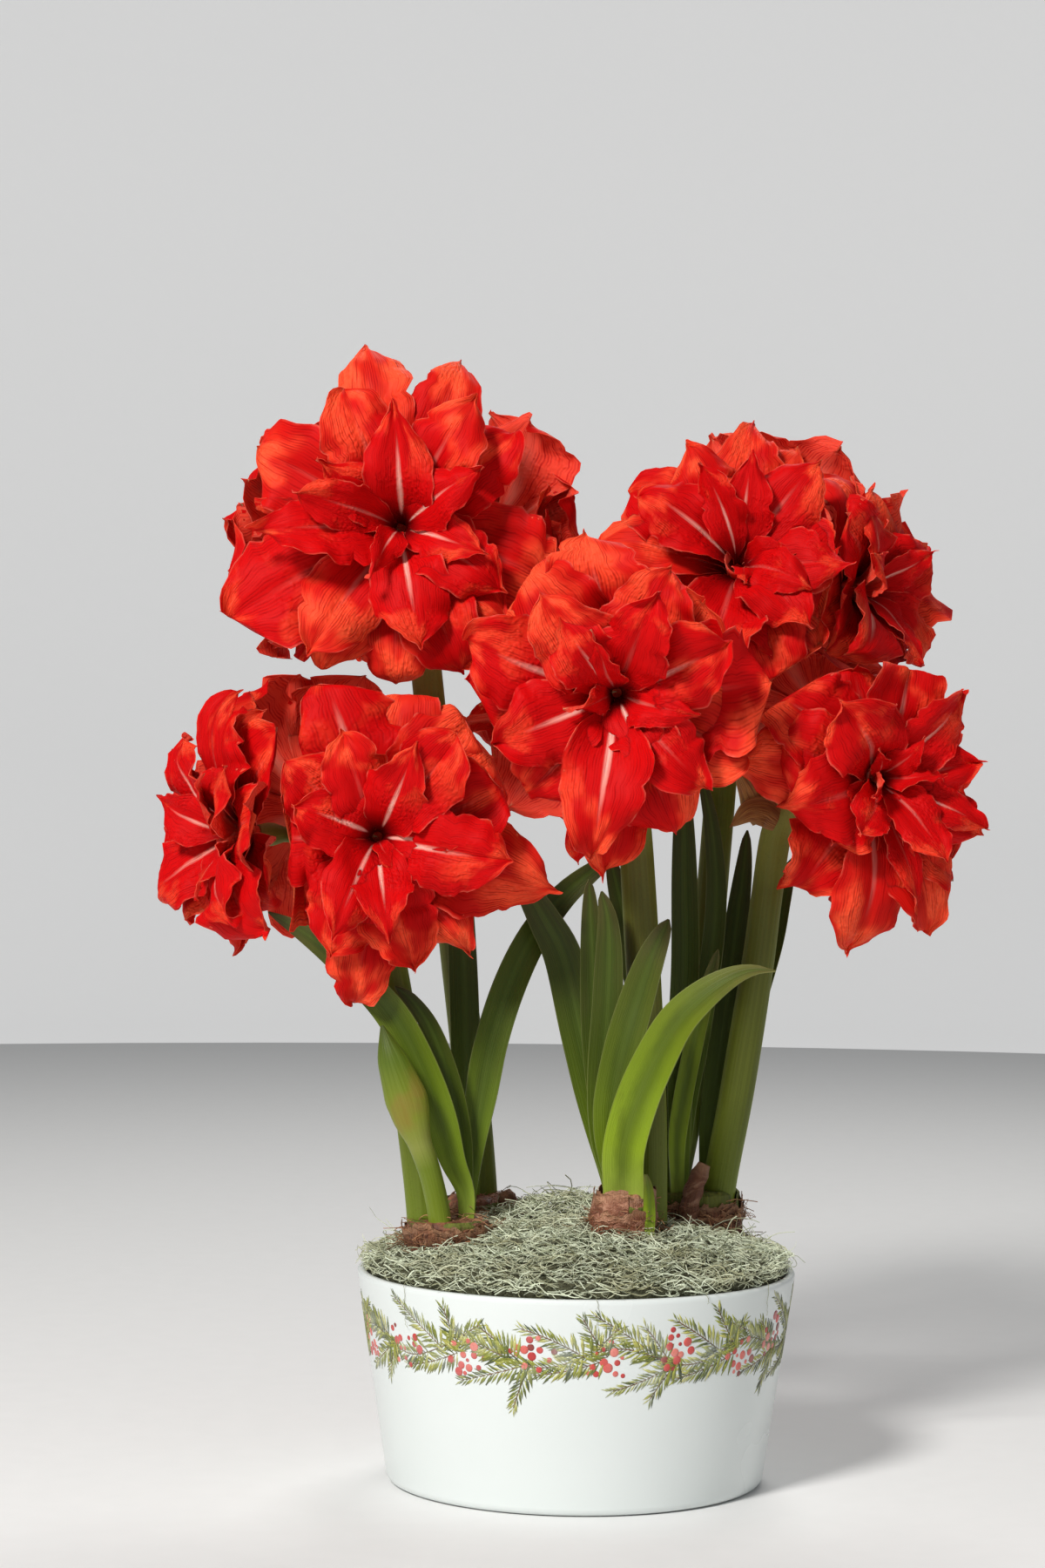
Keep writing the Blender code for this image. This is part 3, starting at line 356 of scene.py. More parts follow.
class Graph:
    """Adds nodes to one tree."""

    def __init__(self, tree):
        self.tree = tree

    def node(self, kind, settings=(), values=(), output=0):
        """A node of this type: its settings first, then its sockets' values or links."""
        made = self.tree.nodes.new(kind)
        for name, value in dict(settings).items():
            if name == "stops":
                self.set_stops(made.color_ramp, value)
            elif name == "captures":
                for label, kind_of_value in value:
                    made.capture_items.new(kind_of_value, label)
            else:
                setattr(made, name, value)
        for key, value in dict(values).items():
            self.feed(made.inputs[key], value)
        return Flow(self, made.outputs[output]) if made.outputs else None

    def set_stops(self, ramp, stops):
        while len(ramp.elements) > 1:
            ramp.elements.remove(ramp.elements[-1])
        ramp.elements[0].position = stops[0][0]
        ramp.elements[0].color = (*stops[0][1], 1.0)
        for position, colour in stops[1:]:
            ramp.elements.new(position).color = (*colour, 1.0)

    def feed(self, socket, value):
        if isinstance(value, Flow):
            self.tree.links.new(value.socket, socket)
        else:
            socket.default_value = (*value, 1.0) if socket.type == "RGBA" else value

    def math(self, operation, *values):
        return self.node("ShaderNodeMath", {"operation": operation}, dict(enumerate(values)))

    def mix(self, share, first, second):
        """Colour between two others."""
        return self.node("ShaderNodeMix", {"data_type": "RGBA"}, {0: share, 6: first, 7: second}, 2)

    def coats(self, colour, *coats):
        """Lay colours over one another, each with its share."""
        for share, coat in coats:
            colour = self.mix(share, colour, coat)
        return colour

    def ramp(self, value, stops):
        return self.node("ShaderNodeValToRGB", {"stops": stops}, {0: value})

    def vector(self, x, y, z):
        return self.node("ShaderNodeCombineXYZ", (), {0: x, 1: y, 2: z})

    def parts(self, vector):
        split = self.node("ShaderNodeSeparateXYZ", (), {0: vector})
        return split, split.output("Y"), split.output("Z")

    def noise(self, where, scale=1.0, detail=2.0, rough=0.5):
        return self.node("ShaderNodeTexNoise", (), {
            "Vector": where, "Scale": scale, "Detail": detail, "Roughness": rough})

    def grain(self, x, y, z, detail=2.0, rough=0.5):
        """Noise at a place given by three numbers."""
        return self.noise(self.vector(x, y, z), 1.0, detail, rough)

    def surface(self):
        """Place across the piece and along it, both from 0 to 1."""
        across, along, _ = self.parts(self.node("ShaderNodeUVMap", {"uv_map": "surface"}))
        return across, along

    def from_rib(self, across):
        """0 on the midrib and 1 at either margin."""
        return (across - 0.5).math("ABSOLUTE") * 2

    def tints(self):
        """The three numbers stored on each point of a piece."""
        colour = self.node("ShaderNodeAttribute", {"attribute_name": "tint"})
        split = self.node("ShaderNodeSeparateColor", (), {0: colour})
        return split, split.output("Green"), split.output("Blue")

    def strand_tone(self):
        return self.node("ShaderNodeAttribute", {"attribute_name": "strand_tone"}, output=2)

    def place(self):
        return self.node("ShaderNodeTexCoord", output=3)

    def edge(self, blend):
        """Near 1 where the surface turns away, and 0 where it faces the viewer. Stems, leaves and the bud use
        it to paint a pale rim light.
        """
        return self.node("ShaderNodeLayerWeight", (), {"Blend": blend}, 1)

    def finish(self, colour, rough, height=None, distance=0.0, strength=1.0):
        """What a shader takes: its colour, roughness and, where a height is given, bump."""
        taken = {"Base Color": colour, "Roughness": rough}
        if height is not None:
            taken["Normal"] = self.node("ShaderNodeBump", (), {
                "Height": height, "Distance": distance, "Strength": strength})
        return taken

    def random(self, low, high, seed):
        """A number for each point or strand."""
        return self.node("FunctionNodeRandomValue", {"data_type": "FLOAT"}, {
            2: low, 3: high, "Seed": seed}, 1)

    def toned(self, geometry, seed, domain="INSTANCE"):
        """Store a random tone that the material reads."""
        return self.node("GeometryNodeStoreNamedAttribute", {"data_type": "FLOAT", "domain": domain}, {
            "Geometry": geometry, "Name": "strand_tone", "Value": self.random(0.0, 1.0, seed)})

    def realized(self, geometry):
        return self.node("GeometryNodeRealizeInstances", (), {0: geometry})

    def shape_of(self, item):
        """The mesh of an object that a tree takes as input."""
        return self.node("GeometryNodeObjectInfo", (), {"Object": item}, 4)

    def position(self):
        return self.parts(self.node("GeometryNodeInputPosition"))

    def moved(self, geometry, x, y, z):
        return self.node("GeometryNodeSetPosition", (), {
            "Geometry": geometry, "Position": self.vector(x, y, z)})


def make_material(name, looks, **constants):
    """A material whose shader takes fixed values and what looks(graph) gives."""
    material = bpy.data.materials.new(name)
    material.use_nodes = True
    shader = material.node_tree.nodes["Principled BSDF"]
    for socket, value in constants.items():
        shader.inputs[socket.replace("_", " ")].default_value = value
    graph = Graph(material.node_tree)
    for socket, value in looks(graph).items():
        graph.feed(shader.inputs[socket], value)
    return material


def petal_looks(graph):
    """Scarlet velvet: deep red, painted orange highlights on its bulges and tips, painted shade in the
    throat, dark veins and a pale streak.
    """
    across, along = graph.surface()
    inner, tone, streak = graph.tints()
    from_rib = graph.from_rib(across)
    warp = graph.grain(across * 4, along * 5, tone * 40)
    lines = (across * 200 + warp * 10).math("SINE") * 0.5 + 0.5
    veins = lines * graph.grain(across * 26, along * 6, tone * 60).fade(0.36, 0.7)
    patches = graph.grain(across * 2.4, along * 3.2, tone * 25).fade(0.40, 0.66)
    # glow is a painted highlight: orange where the bulges and tips would catch the light, more on petals of
    # higher tone
    glow = patches * 0.8 * along.fade(0.2, 0.7) + along.fade(0.5, 1.0) * 0.25 + (tone - 0.55) * 0.8
    cells = graph.node("ShaderNodeTexVoronoi", {"feature": "SMOOTH_F1"}, {
        "Vector": graph.vector(across * 21, along * 38, tone * 9), "Scale": 1.0})
    face = graph.mix(glow.fade(0.1, 1.1), (0.55, 0.0022, 0.0030), (0.95, 0.088, 0.032))
    # The second coat below darkens each petal's foot nearly to black: painted shade deep in the throat.
    face = graph.coats(
        face, (veins * 0.78, (0.33, 0.0006, 0.0014)),
        (along.fade(0.30, 0.04) * 0.95, (0.10, 0.0, 0.001)))
    slim = from_rib / (0.16 - along * 0.14).math("MAXIMUM", 0.02)
    ray = slim.fade(1.0, 0.1) * along.fade(0.07, 0.17) * along.fade(0.72, 0.30) * streak
    face = graph.mix(ray * (0.95 - veins * 0.45), face, (0.90, 0.46, 0.38))
    back = graph.mix(veins, (0.80, 0.070, 0.038), (0.50, 0.010, 0.010))
    back = graph.mix(from_rib.fade(0.3, 0.0) * along.fade(1.0, 0.2) * 0.45, back, (0.86, 0.32, 0.23))
    keel = from_rib.fade(0.16, 0.02) * along.fade(0.86, 0.98)
    back = graph.mix(keel * 0.7, back, (0.70, 0.62, 0.36))
    colour = graph.mix(inner, back, face)
    rim = from_rib.fade(0.94, 1.0) * graph.grain(along * 9, tone * 30, 0.0).fade(0.45, 0.6)
    colour = graph.mix(rim * 0.28, colour, (0.92, 0.24, 0.16))
    height = cells.fade(0.6, 0.1) * patches * 0.55 + (1 - veins) * 0.14
    return graph.finish(colour, 0.55 + veins * 0.12, height, 0.0011, 0.8)


def leaf_looks(graph):
    """Strap leaf: pale foot, olive middle, brownish tip, fine parallel veins; painted light and shade: a lit
    or shaded colouring, a shaded channel and a pale rim light.
    """
    across, along = graph.surface()
    leaf_lit_share, tone, _ = graph.tints()
    lines = graph.grain(across * 46, along * 1.6, tone * 50).fade(0.3, 0.7)
    patches = graph.grain(across * 2, along * 7, tone * 30, 3.0)
    # The dark and light ramps are shaded and lit colourings of one blade: painted shade and painted light,
    # mixed by how lit each leaf is.
    dark = graph.ramp(along, [
        (0.0, (0.17, 0.25, 0.016)), (0.22, (0.050, 0.085, 0.002)), (0.55, (0.022, 0.034, 0.001)),
        (0.85, (0.022, 0.026, 0.002)), (1.0, (0.042, 0.030, 0.008))])
    light = graph.ramp(along, [
        (0.0, (0.42, 0.54, 0.09)), (0.25, (0.26, 0.37, 0.016)), (0.5, (0.15, 0.215, 0.005)),
        (0.8, (0.095, 0.12, 0.008)), (1.0, (0.11, 0.09, 0.030))])
    from_rib = graph.from_rib(across)
    # hollow marks the leaf's channel, where a dark coat paints shade across the middle of the blade.
    hollow = (across + patches * 0.3 - 0.15).fade(0.15, 0.5) * (across + patches * 0.2).fade(1.0, 0.6)
    colour = graph.mix(leaf_lit_share, dark, light)
    # In the coats below, the edge term paints a pale rim light where the blade turns away from view.
    colour = graph.coats(
        colour, (hollow * 0.66 * along.fade(0.02, 0.2), (0.026, 0.050, 0.001)),
        (lines * 0.10, (0.18, 0.25, 0.02)),
        (graph.edge(0.35) ** 2 * 0.45, (0.30, 0.40, 0.04)),
        (from_rib.fade(0.30, 0.0) * 0.10, (0.22, 0.30, 0.05)),
        (from_rib.fade(0.94, 1.0) * 0.22, (0.30, 0.30, 0.12)),
        (patches.fade(0.55, 0.8) * 0.25, (0.05, 0.045, 0.01)))
    return graph.finish(colour, 0.36 + patches * 0.2, lines, 0.0002, 0.5)


def stem_looks(graph):
    """Round hollow stem: ribbed, waxy, yellow-green low down and browner above, with painted light at the top
    of the browner stalks and a painted pale rim light.
    """
    across, along = graph.surface()
    brown, tone, _ = graph.tints()
    turn = across * FULL_TURN
    ribs = graph.grain(turn.math("SINE") * 6, turn.math("COSINE") * 6, along * 2 + tone * 9).fade(0.3, 0.7)
    speckle = graph.noise(graph.place(), 900.0)
    green = graph.ramp(along, [
        (0.0, (0.15, 0.21, 0.012)), (0.3, (0.075, 0.105, 0.003)), (0.7, (0.085, 0.115, 0.005)),
        (1.0, (0.24, 0.29, 0.05))])
    # The umber ramp's top two stops are lightened: painted light on the top of the stalk under the blooms.
    umber = graph.ramp(along, [
        (0.0, (0.14, 0.18, 0.012)), (0.35, (0.070, 0.075, 0.006)), (0.8, (0.095, 0.085, 0.013)),
        (0.92, (0.26, 0.28, 0.06)), (1.0, (0.42, 0.47, 0.13))])
    colour = graph.mix(brown, green, umber)
    # The edge coat below paints a pale rim light where the stalk turns away from view.
    colour = graph.coats(
        colour, (ribs * 0.12, (0.24, 0.28, 0.04)),
        (graph.edge(0.4) ** 2 * 0.55, (0.32, 0.40, 0.05)),
        (speckle.fade(0.55, 0.75) * 0.2, (0.06, 0.05, 0.01)))
    return graph.finish(colour, 0.42 + speckle * 0.2, ribs, 0.0003, 0.5)


def bud_looks(graph):
    """Sheathed bud: pale green swell on its stalk, with a painted highlight across the swell, a brown blush
    and a dark tip.
    """
    across, along = graph.surface()
    lines = graph.grain(across * 30, along * 3, 0.0).fade(0.3, 0.7)
    blush = graph.noise(graph.place(), 60.0).fade(0.45, 0.7)
    # The pale stop at 0.5 paints a highlight across the bud's swell.
    colour = graph.ramp(along, [
        (0.0, (0.20, 0.26, 0.02)), (0.40, (0.13, 0.18, 0.006)), (0.5, (0.24, 0.26, 0.05)),
        (0.62, (0.19, 0.22, 0.012)), (0.85, (0.07, 0.11, 0.004)), (1.0, (0.035, 0.05, 0.004))])
    blushed = blush * along.fade(0.5, 0.62) * along.fade(0.85, 0.7)
    # The edge coat below paints a pale rim light where the bud turns away from view.
    colour = graph.coats(
        colour, (blushed * 0.4, (0.26, 0.11, 0.03)),
        (lines * 0.15, (0.24, 0.30, 0.05)),
        (graph.edge(0.4) ** 2 * 0.4, (0.30, 0.38, 0.05)))
    return graph.finish(colour, 0.38 + lines * 0.1, lines, 0.0003, 0.5)


def bract_looks(graph):
    """Dried bract: brown and papery, or fresh pale green."""
    across, along = graph.surface()
    green, tone, _ = graph.tints()
    lines = graph.grain(across * 24, along * 2.5, tone * 20, 3.0).fade(0.3, 0.7)
    husk = graph.mix(lines, (0.20, 0.075, 0.016), (0.46, 0.24, 0.06))
    husk = graph.mix((across - 0.5).math("ABSOLUTE").fade(0.3, 0.5) * 0.6, husk, (0.42, 0.24, 0.08))
    fresh = graph.mix(lines, (0.30, 0.36, 0.08), (0.52, 0.54, 0.24))
    return graph.finish(graph.mix(green, husk, fresh), 0.5 + lines * 0.15, lines, 0.0004, 0.7)


def tunic_looks(graph):
    """Papery bulb coat: red-brown, or shiny pink-brown, with straw-coloured torn edges, painted highlights on
    its crease crests and painted shade on the inner faces of its scales.
    """
    across, along = graph.surface()
    tone, torn, shine = graph.tints()
    place = graph.place()
    x, y, z = graph.parts(place)
    lines = graph.grain(across * 22, along * 3, tone * 30, 4.0, 0.7).fade(0.28, 0.75)
    bent = z * 260 + graph.noise(place, 90.0) * 3
    creases = graph.grain(x * 90, y * 90, bent, 4.0, 0.65).fade(0.38, 0.66)
    colour = graph.mix(lines, (0.080, 0.022, 0.010), (0.30, 0.115, 0.050))
    pink = graph.mix(creases, (0.20, 0.062, 0.028), (0.52, 0.24, 0.145))
    # In the coats below, the peach on the crests of the creases is a painted highlight.
    colour = graph.coats(
        colour, (shine, pink),
        (creases.fade(0.7, 1.0) * lines * 0.5, (0.62, 0.38, 0.25)),
        (along.fade(0.75, 1.0) * 0.45, (0.50, 0.28, 0.15)),
        # torn is 1 on the inner face of each scale, which is darkened here as painted shade against the neck.
        (torn * 0.7, (0.07, 0.022, 0.010)))
    return graph.finish(colour, 0.60 - shine * 0.22 + lines * 0.15, lines * 0.5 + creases * 0.8, 0.0012, 0.9)


def bulb_looks(graph):
    """Body of a bulb: brown coat, and green flesh where it shows at the top."""
    x, y, z = graph.parts(graph.place())
    wraps = graph.grain(x * 160, y * 160, z * 30, 4.0, 0.65).fade(0.3, 0.72)
    colour = graph.mix(wraps, (0.09, 0.03, 0.014), (0.30, 0.14, 0.07))
    fleshy = graph.mix(wraps, (0.055, 0.080, 0.004), (0.13, 0.165, 0.012))
    colour = graph.mix((z + wraps * 0.006).fade(0.136, 0.142) * 0.9, colour, fleshy)
    return graph.finish(colour, 0.65 + wraps * 0.15, wraps, 0.0008, 0.9)


def strand_looks(pale, dark, brown):
    """Looks for thin strands, each with its own stored tone."""
    def looks(graph):
        place = graph.place()
        mottled = graph.noise(place, 240.0)
        patches = graph.noise(place, 38.0).fade(0.42, 0.68)
        palest = tuple(min(1.0, part * 1.45) for part in pale)
        colour = graph.ramp(graph.strand_tone(), [(0.0, dark), (0.45, pale), (1.0, palest)])
        colour = graph.coats(
            colour, (mottled.fade(0.45, 0.75) * 0.4, dark),
            (patches * 0.42, brown))
        return graph.finish(colour, 0.75 + mottled * 0.2)
    return looks


def moss_bed_looks(graph):
    tangle = graph.noise(graph.place(), 420.0, 5.0, 0.7)
    colour = graph.ramp(tangle, [
        (0.25, (0.035, 0.030, 0.013)), (0.5, (0.10, 0.10, 0.05)), (0.75, (0.22, 0.24, 0.16))])
    return graph.finish(colour, 0.9 - tangle * 0.1, tangle, 0.003)


def soil_looks(graph):
    crumbs = graph.noise(graph.place(), 300.0, 5.0, 0.7)
    colour = graph.mix(crumbs.fade(0.35, 0.7), (0.016, 0.010, 0.007), (0.07, 0.045, 0.03))
    return graph.finish(colour, 0.95 - crumbs * 0.1, crumbs, 0.003)


def glaze_looks(graph):
    """White glaze, a little uneven, with a faint cool cast."""
    place = graph.place()
    uneven = graph.noise(place, 14.0)
    specks = graph.noise(place, 700.0).fade(0.72, 0.8)
    colour = graph.mix(uneven, (0.715, 0.765, 0.745), (0.755, 0.795, 0.785))
    colour = graph.mix(specks * 0.12, colour, (0.55, 0.58, 0.57))
    return graph.finish(colour, 0.22 + uneven * 0.08, uneven, 0.0006, 0.3)


def painted_looks(stops, wash):
    """Looks for painted strokes: each has a stored tone, and thins out in places."""
    def looks(graph):
        place = graph.place()
        pooled = graph.noise(place, 420.0, 3.0)
        colour = graph.ramp(graph.strand_tone(), stops)
        colour = graph.coats(
            colour, (pooled.fade(0.5, 0.8) * 0.35, (0.07, 0.07, 0.045)),
            (graph.noise(place, 70.0).fade(0.4, 0.75) * wash, (0.80, 0.83, 0.80)))
        return graph.finish(colour, 0.24 + pooled * 0.08)
    return looks


def floor_looks(graph):
    grain = graph.noise(graph.place(), 60.0)
    colour = graph.mix(grain, (0.80, 0.80, 0.795), (0.83, 0.83, 0.825))
    return graph.finish(colour, 0.6 + grain * 0.1)


def make_materials():
    petal_light = {"Specular_IOR_Level": 0.06, "Subsurface_Weight": 0.6,
                   "Subsurface_Radius": (1.0, 0.2, 0.12), "Subsurface_Scale": 0.0014}
    moss = strand_looks((0.57, 0.62, 0.47), (0.27, 0.28, 0.16), (0.33, 0.30, 0.14))
    fibre = strand_looks((0.20, 0.135, 0.065), (0.075, 0.04, 0.018), (0.17, 0.15, 0.08))
    nest = strand_looks((0.31, 0.145, 0.065), (0.085, 0.030, 0.013), (0.38, 0.23, 0.12))
    needle = painted_looks([(0.0, (0.06, 0.08, 0.035)), (0.25, (0.17, 0.20, 0.035)),
                            (0.65, (0.32, 0.34, 0.05)), (1.0, (0.50, 0.48, 0.14))], 0.26)
    twig = painted_looks([(0.0, (0.16, 0.13, 0.08)), (1.0, (0.30, 0.15, 0.08))], 0.25)
    berry = painted_looks([(0.0, (0.22, 0.05, 0.04)), (0.2, (0.46, 0.03, 0.03)), (0.6, (0.60, 0.07, 0.06)),
                           (1.0, (0.76, 0.24, 0.19))], 0.2)
    glow = {"Emission_Color": (1.0, 1.0, 1.0, 1.0), "Emission_Strength": 0.30}
    return {key: make_material(name, looks, **constants) for key, name, looks, constants in (
        ("petal", "petal_velvet", petal_looks, petal_light),
        ("leaf", "strap_leaf", leaf_looks, {"Specular_IOR_Level": 0.22}),
        ("stem", "stem_waxy", stem_looks, {"Specular_IOR_Level": 0.28}),
        ("bud", "bud_green", bud_looks, {"Specular_IOR_Level": 0.3}),
        ("bract", "bract_papery", bract_looks, {}),
        ("tunic", "tunic_papery", tunic_looks, {}),
        ("bulb", "bulb_coat", bulb_looks, {}),
        ("moss", "moss_curled", moss, {}),
        ("fibre", "fibre_brown", fibre, {}),
        ("nest", "fibre_rusty", nest, {}),
        ("bed", "moss_bed", moss_bed_looks, {}),
        ("soil", "soil_crumb", soil_looks, {}),
        ("glaze", "glaze_white", glaze_looks, {}),
        ("needle", "needle_paint", needle, {}),
        ("twig", "twig_paint", twig, {}),
        ("berry", "berry_paint", berry, {}),
        ("floor", "floor_pale", floor_looks, {}),
        ("backdrop", "backdrop_pale", floor_looks, glow))}


def put_in_scene(name, data):
    """A new object in the scene, from its mesh, light or camera data."""
    item = bpy.data.objects.new(name, data)
    bpy.context.scene.collection.objects.link(item)
    return item


class Sheaf:
    """Gathers closed shells and makes them one piece, with its UV map and tints."""

    def __init__(self):
        self.points, self.faces, self.corners, self.tints, self.slots = [], [], [], [], []
        self.count = 0

    def add(self, points, faces, corners, tints, slot=0):
        self.points.append(points.reshape(-1, 3))
        self.faces += [[index + self.count for index in face] for face in faces]
        self.corners.append(np.asarray(corners).reshape(-1, 2))
        self.tints.append(tints)
        self.slots += [slot] * len(faces)
        self.count += len(self.points[-1])

    def add_sheet(self, grid, thick, front_tint, back_tint, slot=0):
        """A sheet of rows by columns points, given thickness on both sides."""
        rows, columns = grid.shape[:2]
        count = rows * columns
        normal = unit(np.cross(np.gradient(grid, axis=1), np.gradient(grid, axis=0)))
        offset = normal * (np.broadcast_to(thick, (rows, columns))[..., None] / 2)
        points = np.concatenate([(grid + offset).reshape(-1, 3), (grid - offset).reshape(-1, 3)])
        index = np.arange(count).reshape(rows, columns)
        top = np.stack([index[:-1, :-1], index[:-1, 1:], index[1:, 1:], index[1:, :-1]], axis=-1)
        top = top.reshape(-1, 4)
        loop = np.concatenate([index[0, :], index[1:, -1], index[-1, -2::-1], index[-2:0:-1, 0]])
        following = np.roll(loop, -1)
        rim = np.stack([following, loop, loop + count, following + count], axis=-1)
        faces = np.concatenate([top, top[:, ::-1] + count, rim])
        across, along = np.linspace(0, 1, columns), np.linspace(0, 1, rows)
        place = np.stack([np.tile(across, rows), np.repeat(along, columns)], axis=-1)
        tints = np.ones((2 * count, 4))
        tints[:count, :3] = front_tint
        tints[count:, :3] = back_tint
        self.add(points, faces.tolist(), np.concatenate([place, place])[faces], tints, slot)

    def add_tube(self, rings, tint, slot=0):
        """A closed tube through rings of points."""
        rows, columns = rings.shape[:2]
        index = np.arange(rows * columns).reshape(rows, columns)
        after = np.roll(index, -1, axis=1)
        faces = np.stack([index[:-1], after[:-1], after[1:], index[1:]], axis=-1).reshape(-1, 4).tolist()
        u_low = np.arange(columns) / columns
        u_high = u_low + 1 / columns
        corners = []
        for row in range(rows - 1):
            low, high = row / (rows - 1), (row + 1) / (rows - 1)
            for left, right in zip(u_low, u_high):
                corners += [(left, low), (right, low), (right, high), (left, high)]
        base, top = rows * columns, rows * columns + 1
        for column, (left, right) in enumerate(zip(u_low, u_high)):
            following = (column + 1) % columns
            faces.append([base, following, column])
            faces.append([top, index[-1, column].item(), index[-1, following].item()])
            corners += [(left, 0), (right, 0), (left, 0), (left, 1), (left, 1), (right, 1)]
        ends = [rings[0].mean(0, keepdims=True), rings[-1].mean(0, keepdims=True)]
        points = np.concatenate([rings.reshape(-1, 3), *ends])
        tints = np.ones((len(points), 4))
        tints[:, :3] = tint
        self.add(points, faces, corners, tints, slot)

    def make(self, name, materials, sharp=60):
        mesh = bpy.data.meshes.new(name)
        mesh.from_pydata((np.concatenate(self.points) * MM).tolist(), [], self.faces)
        layer = mesh.uv_layers.new(name="surface")
        layer.data.foreach_set("uv", np.concatenate(self.corners).astype(np.float32).ravel())
        tints = mesh.attributes.new("tint", "FLOAT_COLOR", "POINT")
        tints.data.foreach_set("color", np.concatenate(self.tints).astype(np.float32).ravel())
        for material in materials:
            mesh.materials.append(material)
        mesh.polygons.foreach_set("material_index", self.slots)
        mesh.shade_smooth()
        mesh.set_sharp_from_angle(angle=math.radians(sharp))
        return put_in_scene(name, mesh)


def keep(piece, slot, *nodes):
    """Hand a finished piece to the frame, in place of the nodes it stands for."""
    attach(piece, "root")
    if nodes:
        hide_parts(*nodes)


def smooth(value, start=0.0, end=1.0):
    share = np.clip((np.asarray(value, dtype=float) - start) / (end - start), 0.0, 1.0)
    return share * share * (3 - 2 * share)


def whole_turn(count):
    return np.linspace(0, math.tau, count, endpoint=False)


def unit(vector):
    return vector / np.maximum(np.linalg.norm(vector, axis=-1, keepdims=True), 1e-9)


def smooth_route(knots, count):
    """Points evenly spaced along a Catmull-Rom curve through the knots."""
    knots = np.array(knots, dtype=float)
    knots = np.concatenate([[2 * knots[0] - knots[1]], knots, [2 * knots[-1] - knots[-2]]])
    t = np.linspace(0, 1, 24, endpoint=False)[:, None]
    spans = []
    for before, start, end, after in zip(knots, knots[1:], knots[2:], knots[3:]):
        spans.append(0.5 * (2 * start + (end - before) * t
                            + (2 * before - 5 * start + 4 * end - after) * t ** 2
                            + (3 * start - before - 3 * end + after) * t ** 3))
    fine = np.concatenate(spans + [knots[-2:-1]])
    lengths = np.concatenate([[0], np.cumsum(np.linalg.norm(np.diff(fine, axis=0), axis=1))])
    wanted = np.linspace(0, lengths[-1], count)
    return np.stack([np.interp(wanted, lengths, fine[:, axis]) for axis in range(3)], axis=1)


def directions(route):
    return unit(np.gradient(route, axis=0))


def rings_along(route, across, through, columns, hint=FRONT):
    """Oval rings square to a route."""
    along = directions(route)
    side = unit(np.cross(along, hint))
    front = np.cross(along, side)
    turn = whole_turn(columns)
    across = np.broadcast_to(across, len(route))[:, None, None]
    through = np.broadcast_to(through, len(route))[:, None, None]
    return (route[:, None] + side[:, None] * (np.cos(turn)[None, :, None] * across)
            + front[:, None] * (np.sin(turn)[None, :, None] * through))


def facing(heading):
    turn, rise = math.radians(heading[0]), math.radians(heading[1])
    return np.array((math.sin(turn) * math.cos(rise), -math.cos(turn) * math.cos(rise), math.sin(rise)))


def bloom_axes(bloom):
    """Viewer's right, up, and out of the throat, and the bloom's foot."""
    axis = facing(BLOOMS[bloom][2])
    upward = unit(UP - axis * UP.dot(axis))
    right = np.cross(upward, axis)
    return right, upward, axis, np.array(BLOOMS[bloom][1]) - axis * THROAT_DEPTH


def cell_planes(bloom):
    """Planes halfway to each other bloom, which the petals press against."""
    centres = {name: np.array(row[1]) + facing(row[2]) * CELL_LEAD for name, row in BLOOMS.items()}
    own = centres.pop(bloom)
    planes = [(np.array(normal, dtype=float), reach) for normal, reach in BLOOM_BARS.get(bloom, [])]
    for centre in centres.values():
        distance = np.linalg.norm(centre - own)
        if distance < 2.4 * FULL_REACH:
            normal = (centre - own) / distance
            planes.append((normal, normal.dot(own) + distance / 2 - NEIGHBOUR_GAP))
    return planes


def held_inside(points, planes):
    """Bend points back from the planes that they would cross."""
    for _ in range(4):
        for normal, reach in planes:
            room = reach - points @ normal
            near = np.minimum(room, SOFT_EDGE)
            points = points + normal * (near - SOFT_EDGE * np.exp(near / SOFT_EDGE - 1))[..., None]
    return points


def petal_grid(axes, size, level, angle, reach, width, twist, draw):
    """Middle surface of one petal, in the world, as rows from foot to tip."""
    right, upward, axis, foot = axes
    rows, columns = size
    whorl = WHORLS[level]
    t = 1 - (1 - np.linspace(0, 1, rows)) ** 1.25
    s = np.linspace(-1, 1, columns)
    curl = draw.uniform(0, 62) if level < 3 else draw.uniform(-14, 26)
    start = whorl["foot"] + draw.uniform(-5, 5)
    lean = start + (whorl["tip"] + draw.uniform(-8, 6) - start) * t ** 0.9 + curl * smooth(t, 0.62, 1.0)
    lean = np.radians(lean)

    def summed(slope):
        return np.concatenate([[0], np.cumsum((slope[1:] + slope[:-1]) / 2 * np.diff(t))])
    run, lift = summed(np.sin(lean)), summed(np.cos(lean))
    length = (reach - PETAL_START) / run.max()
    turn = math.radians(angle)
    outward = right * math.cos(turn) + upward * math.sin(turn)
    sideways = right * math.sin(turn) - upward * math.cos(turn)
    middle = foot + outward * (PETAL_START + run * length)[:, None]
    middle = middle + axis * (whorl["rise"] + lift * length)[:, None]
    middle = middle + sideways * (draw.uniform(-0.2, 0.2) * width * t ** 2)[:, None]
    front = axis * np.sin(lean)[:, None] - outward * np.cos(lean)[:, None]
    spin = (np.radians(twist) * smooth(t, 0.1, 1.0))[:, None]
    side = sideways * np.cos(spin) + front * np.sin(spin)
    front = front * np.cos(spin) - sideways * np.sin(spin)
    half = width / 2 * petal_outline(t, s, level, draw)
    spread, depth = petal_section(t, s, draw)
    raised = half * depth + petal_ruffle(t, s, width, draw)
    return middle[:, None] + side[:, None] * (half * spread)[..., None] + front[:, None] * raised[..., None]


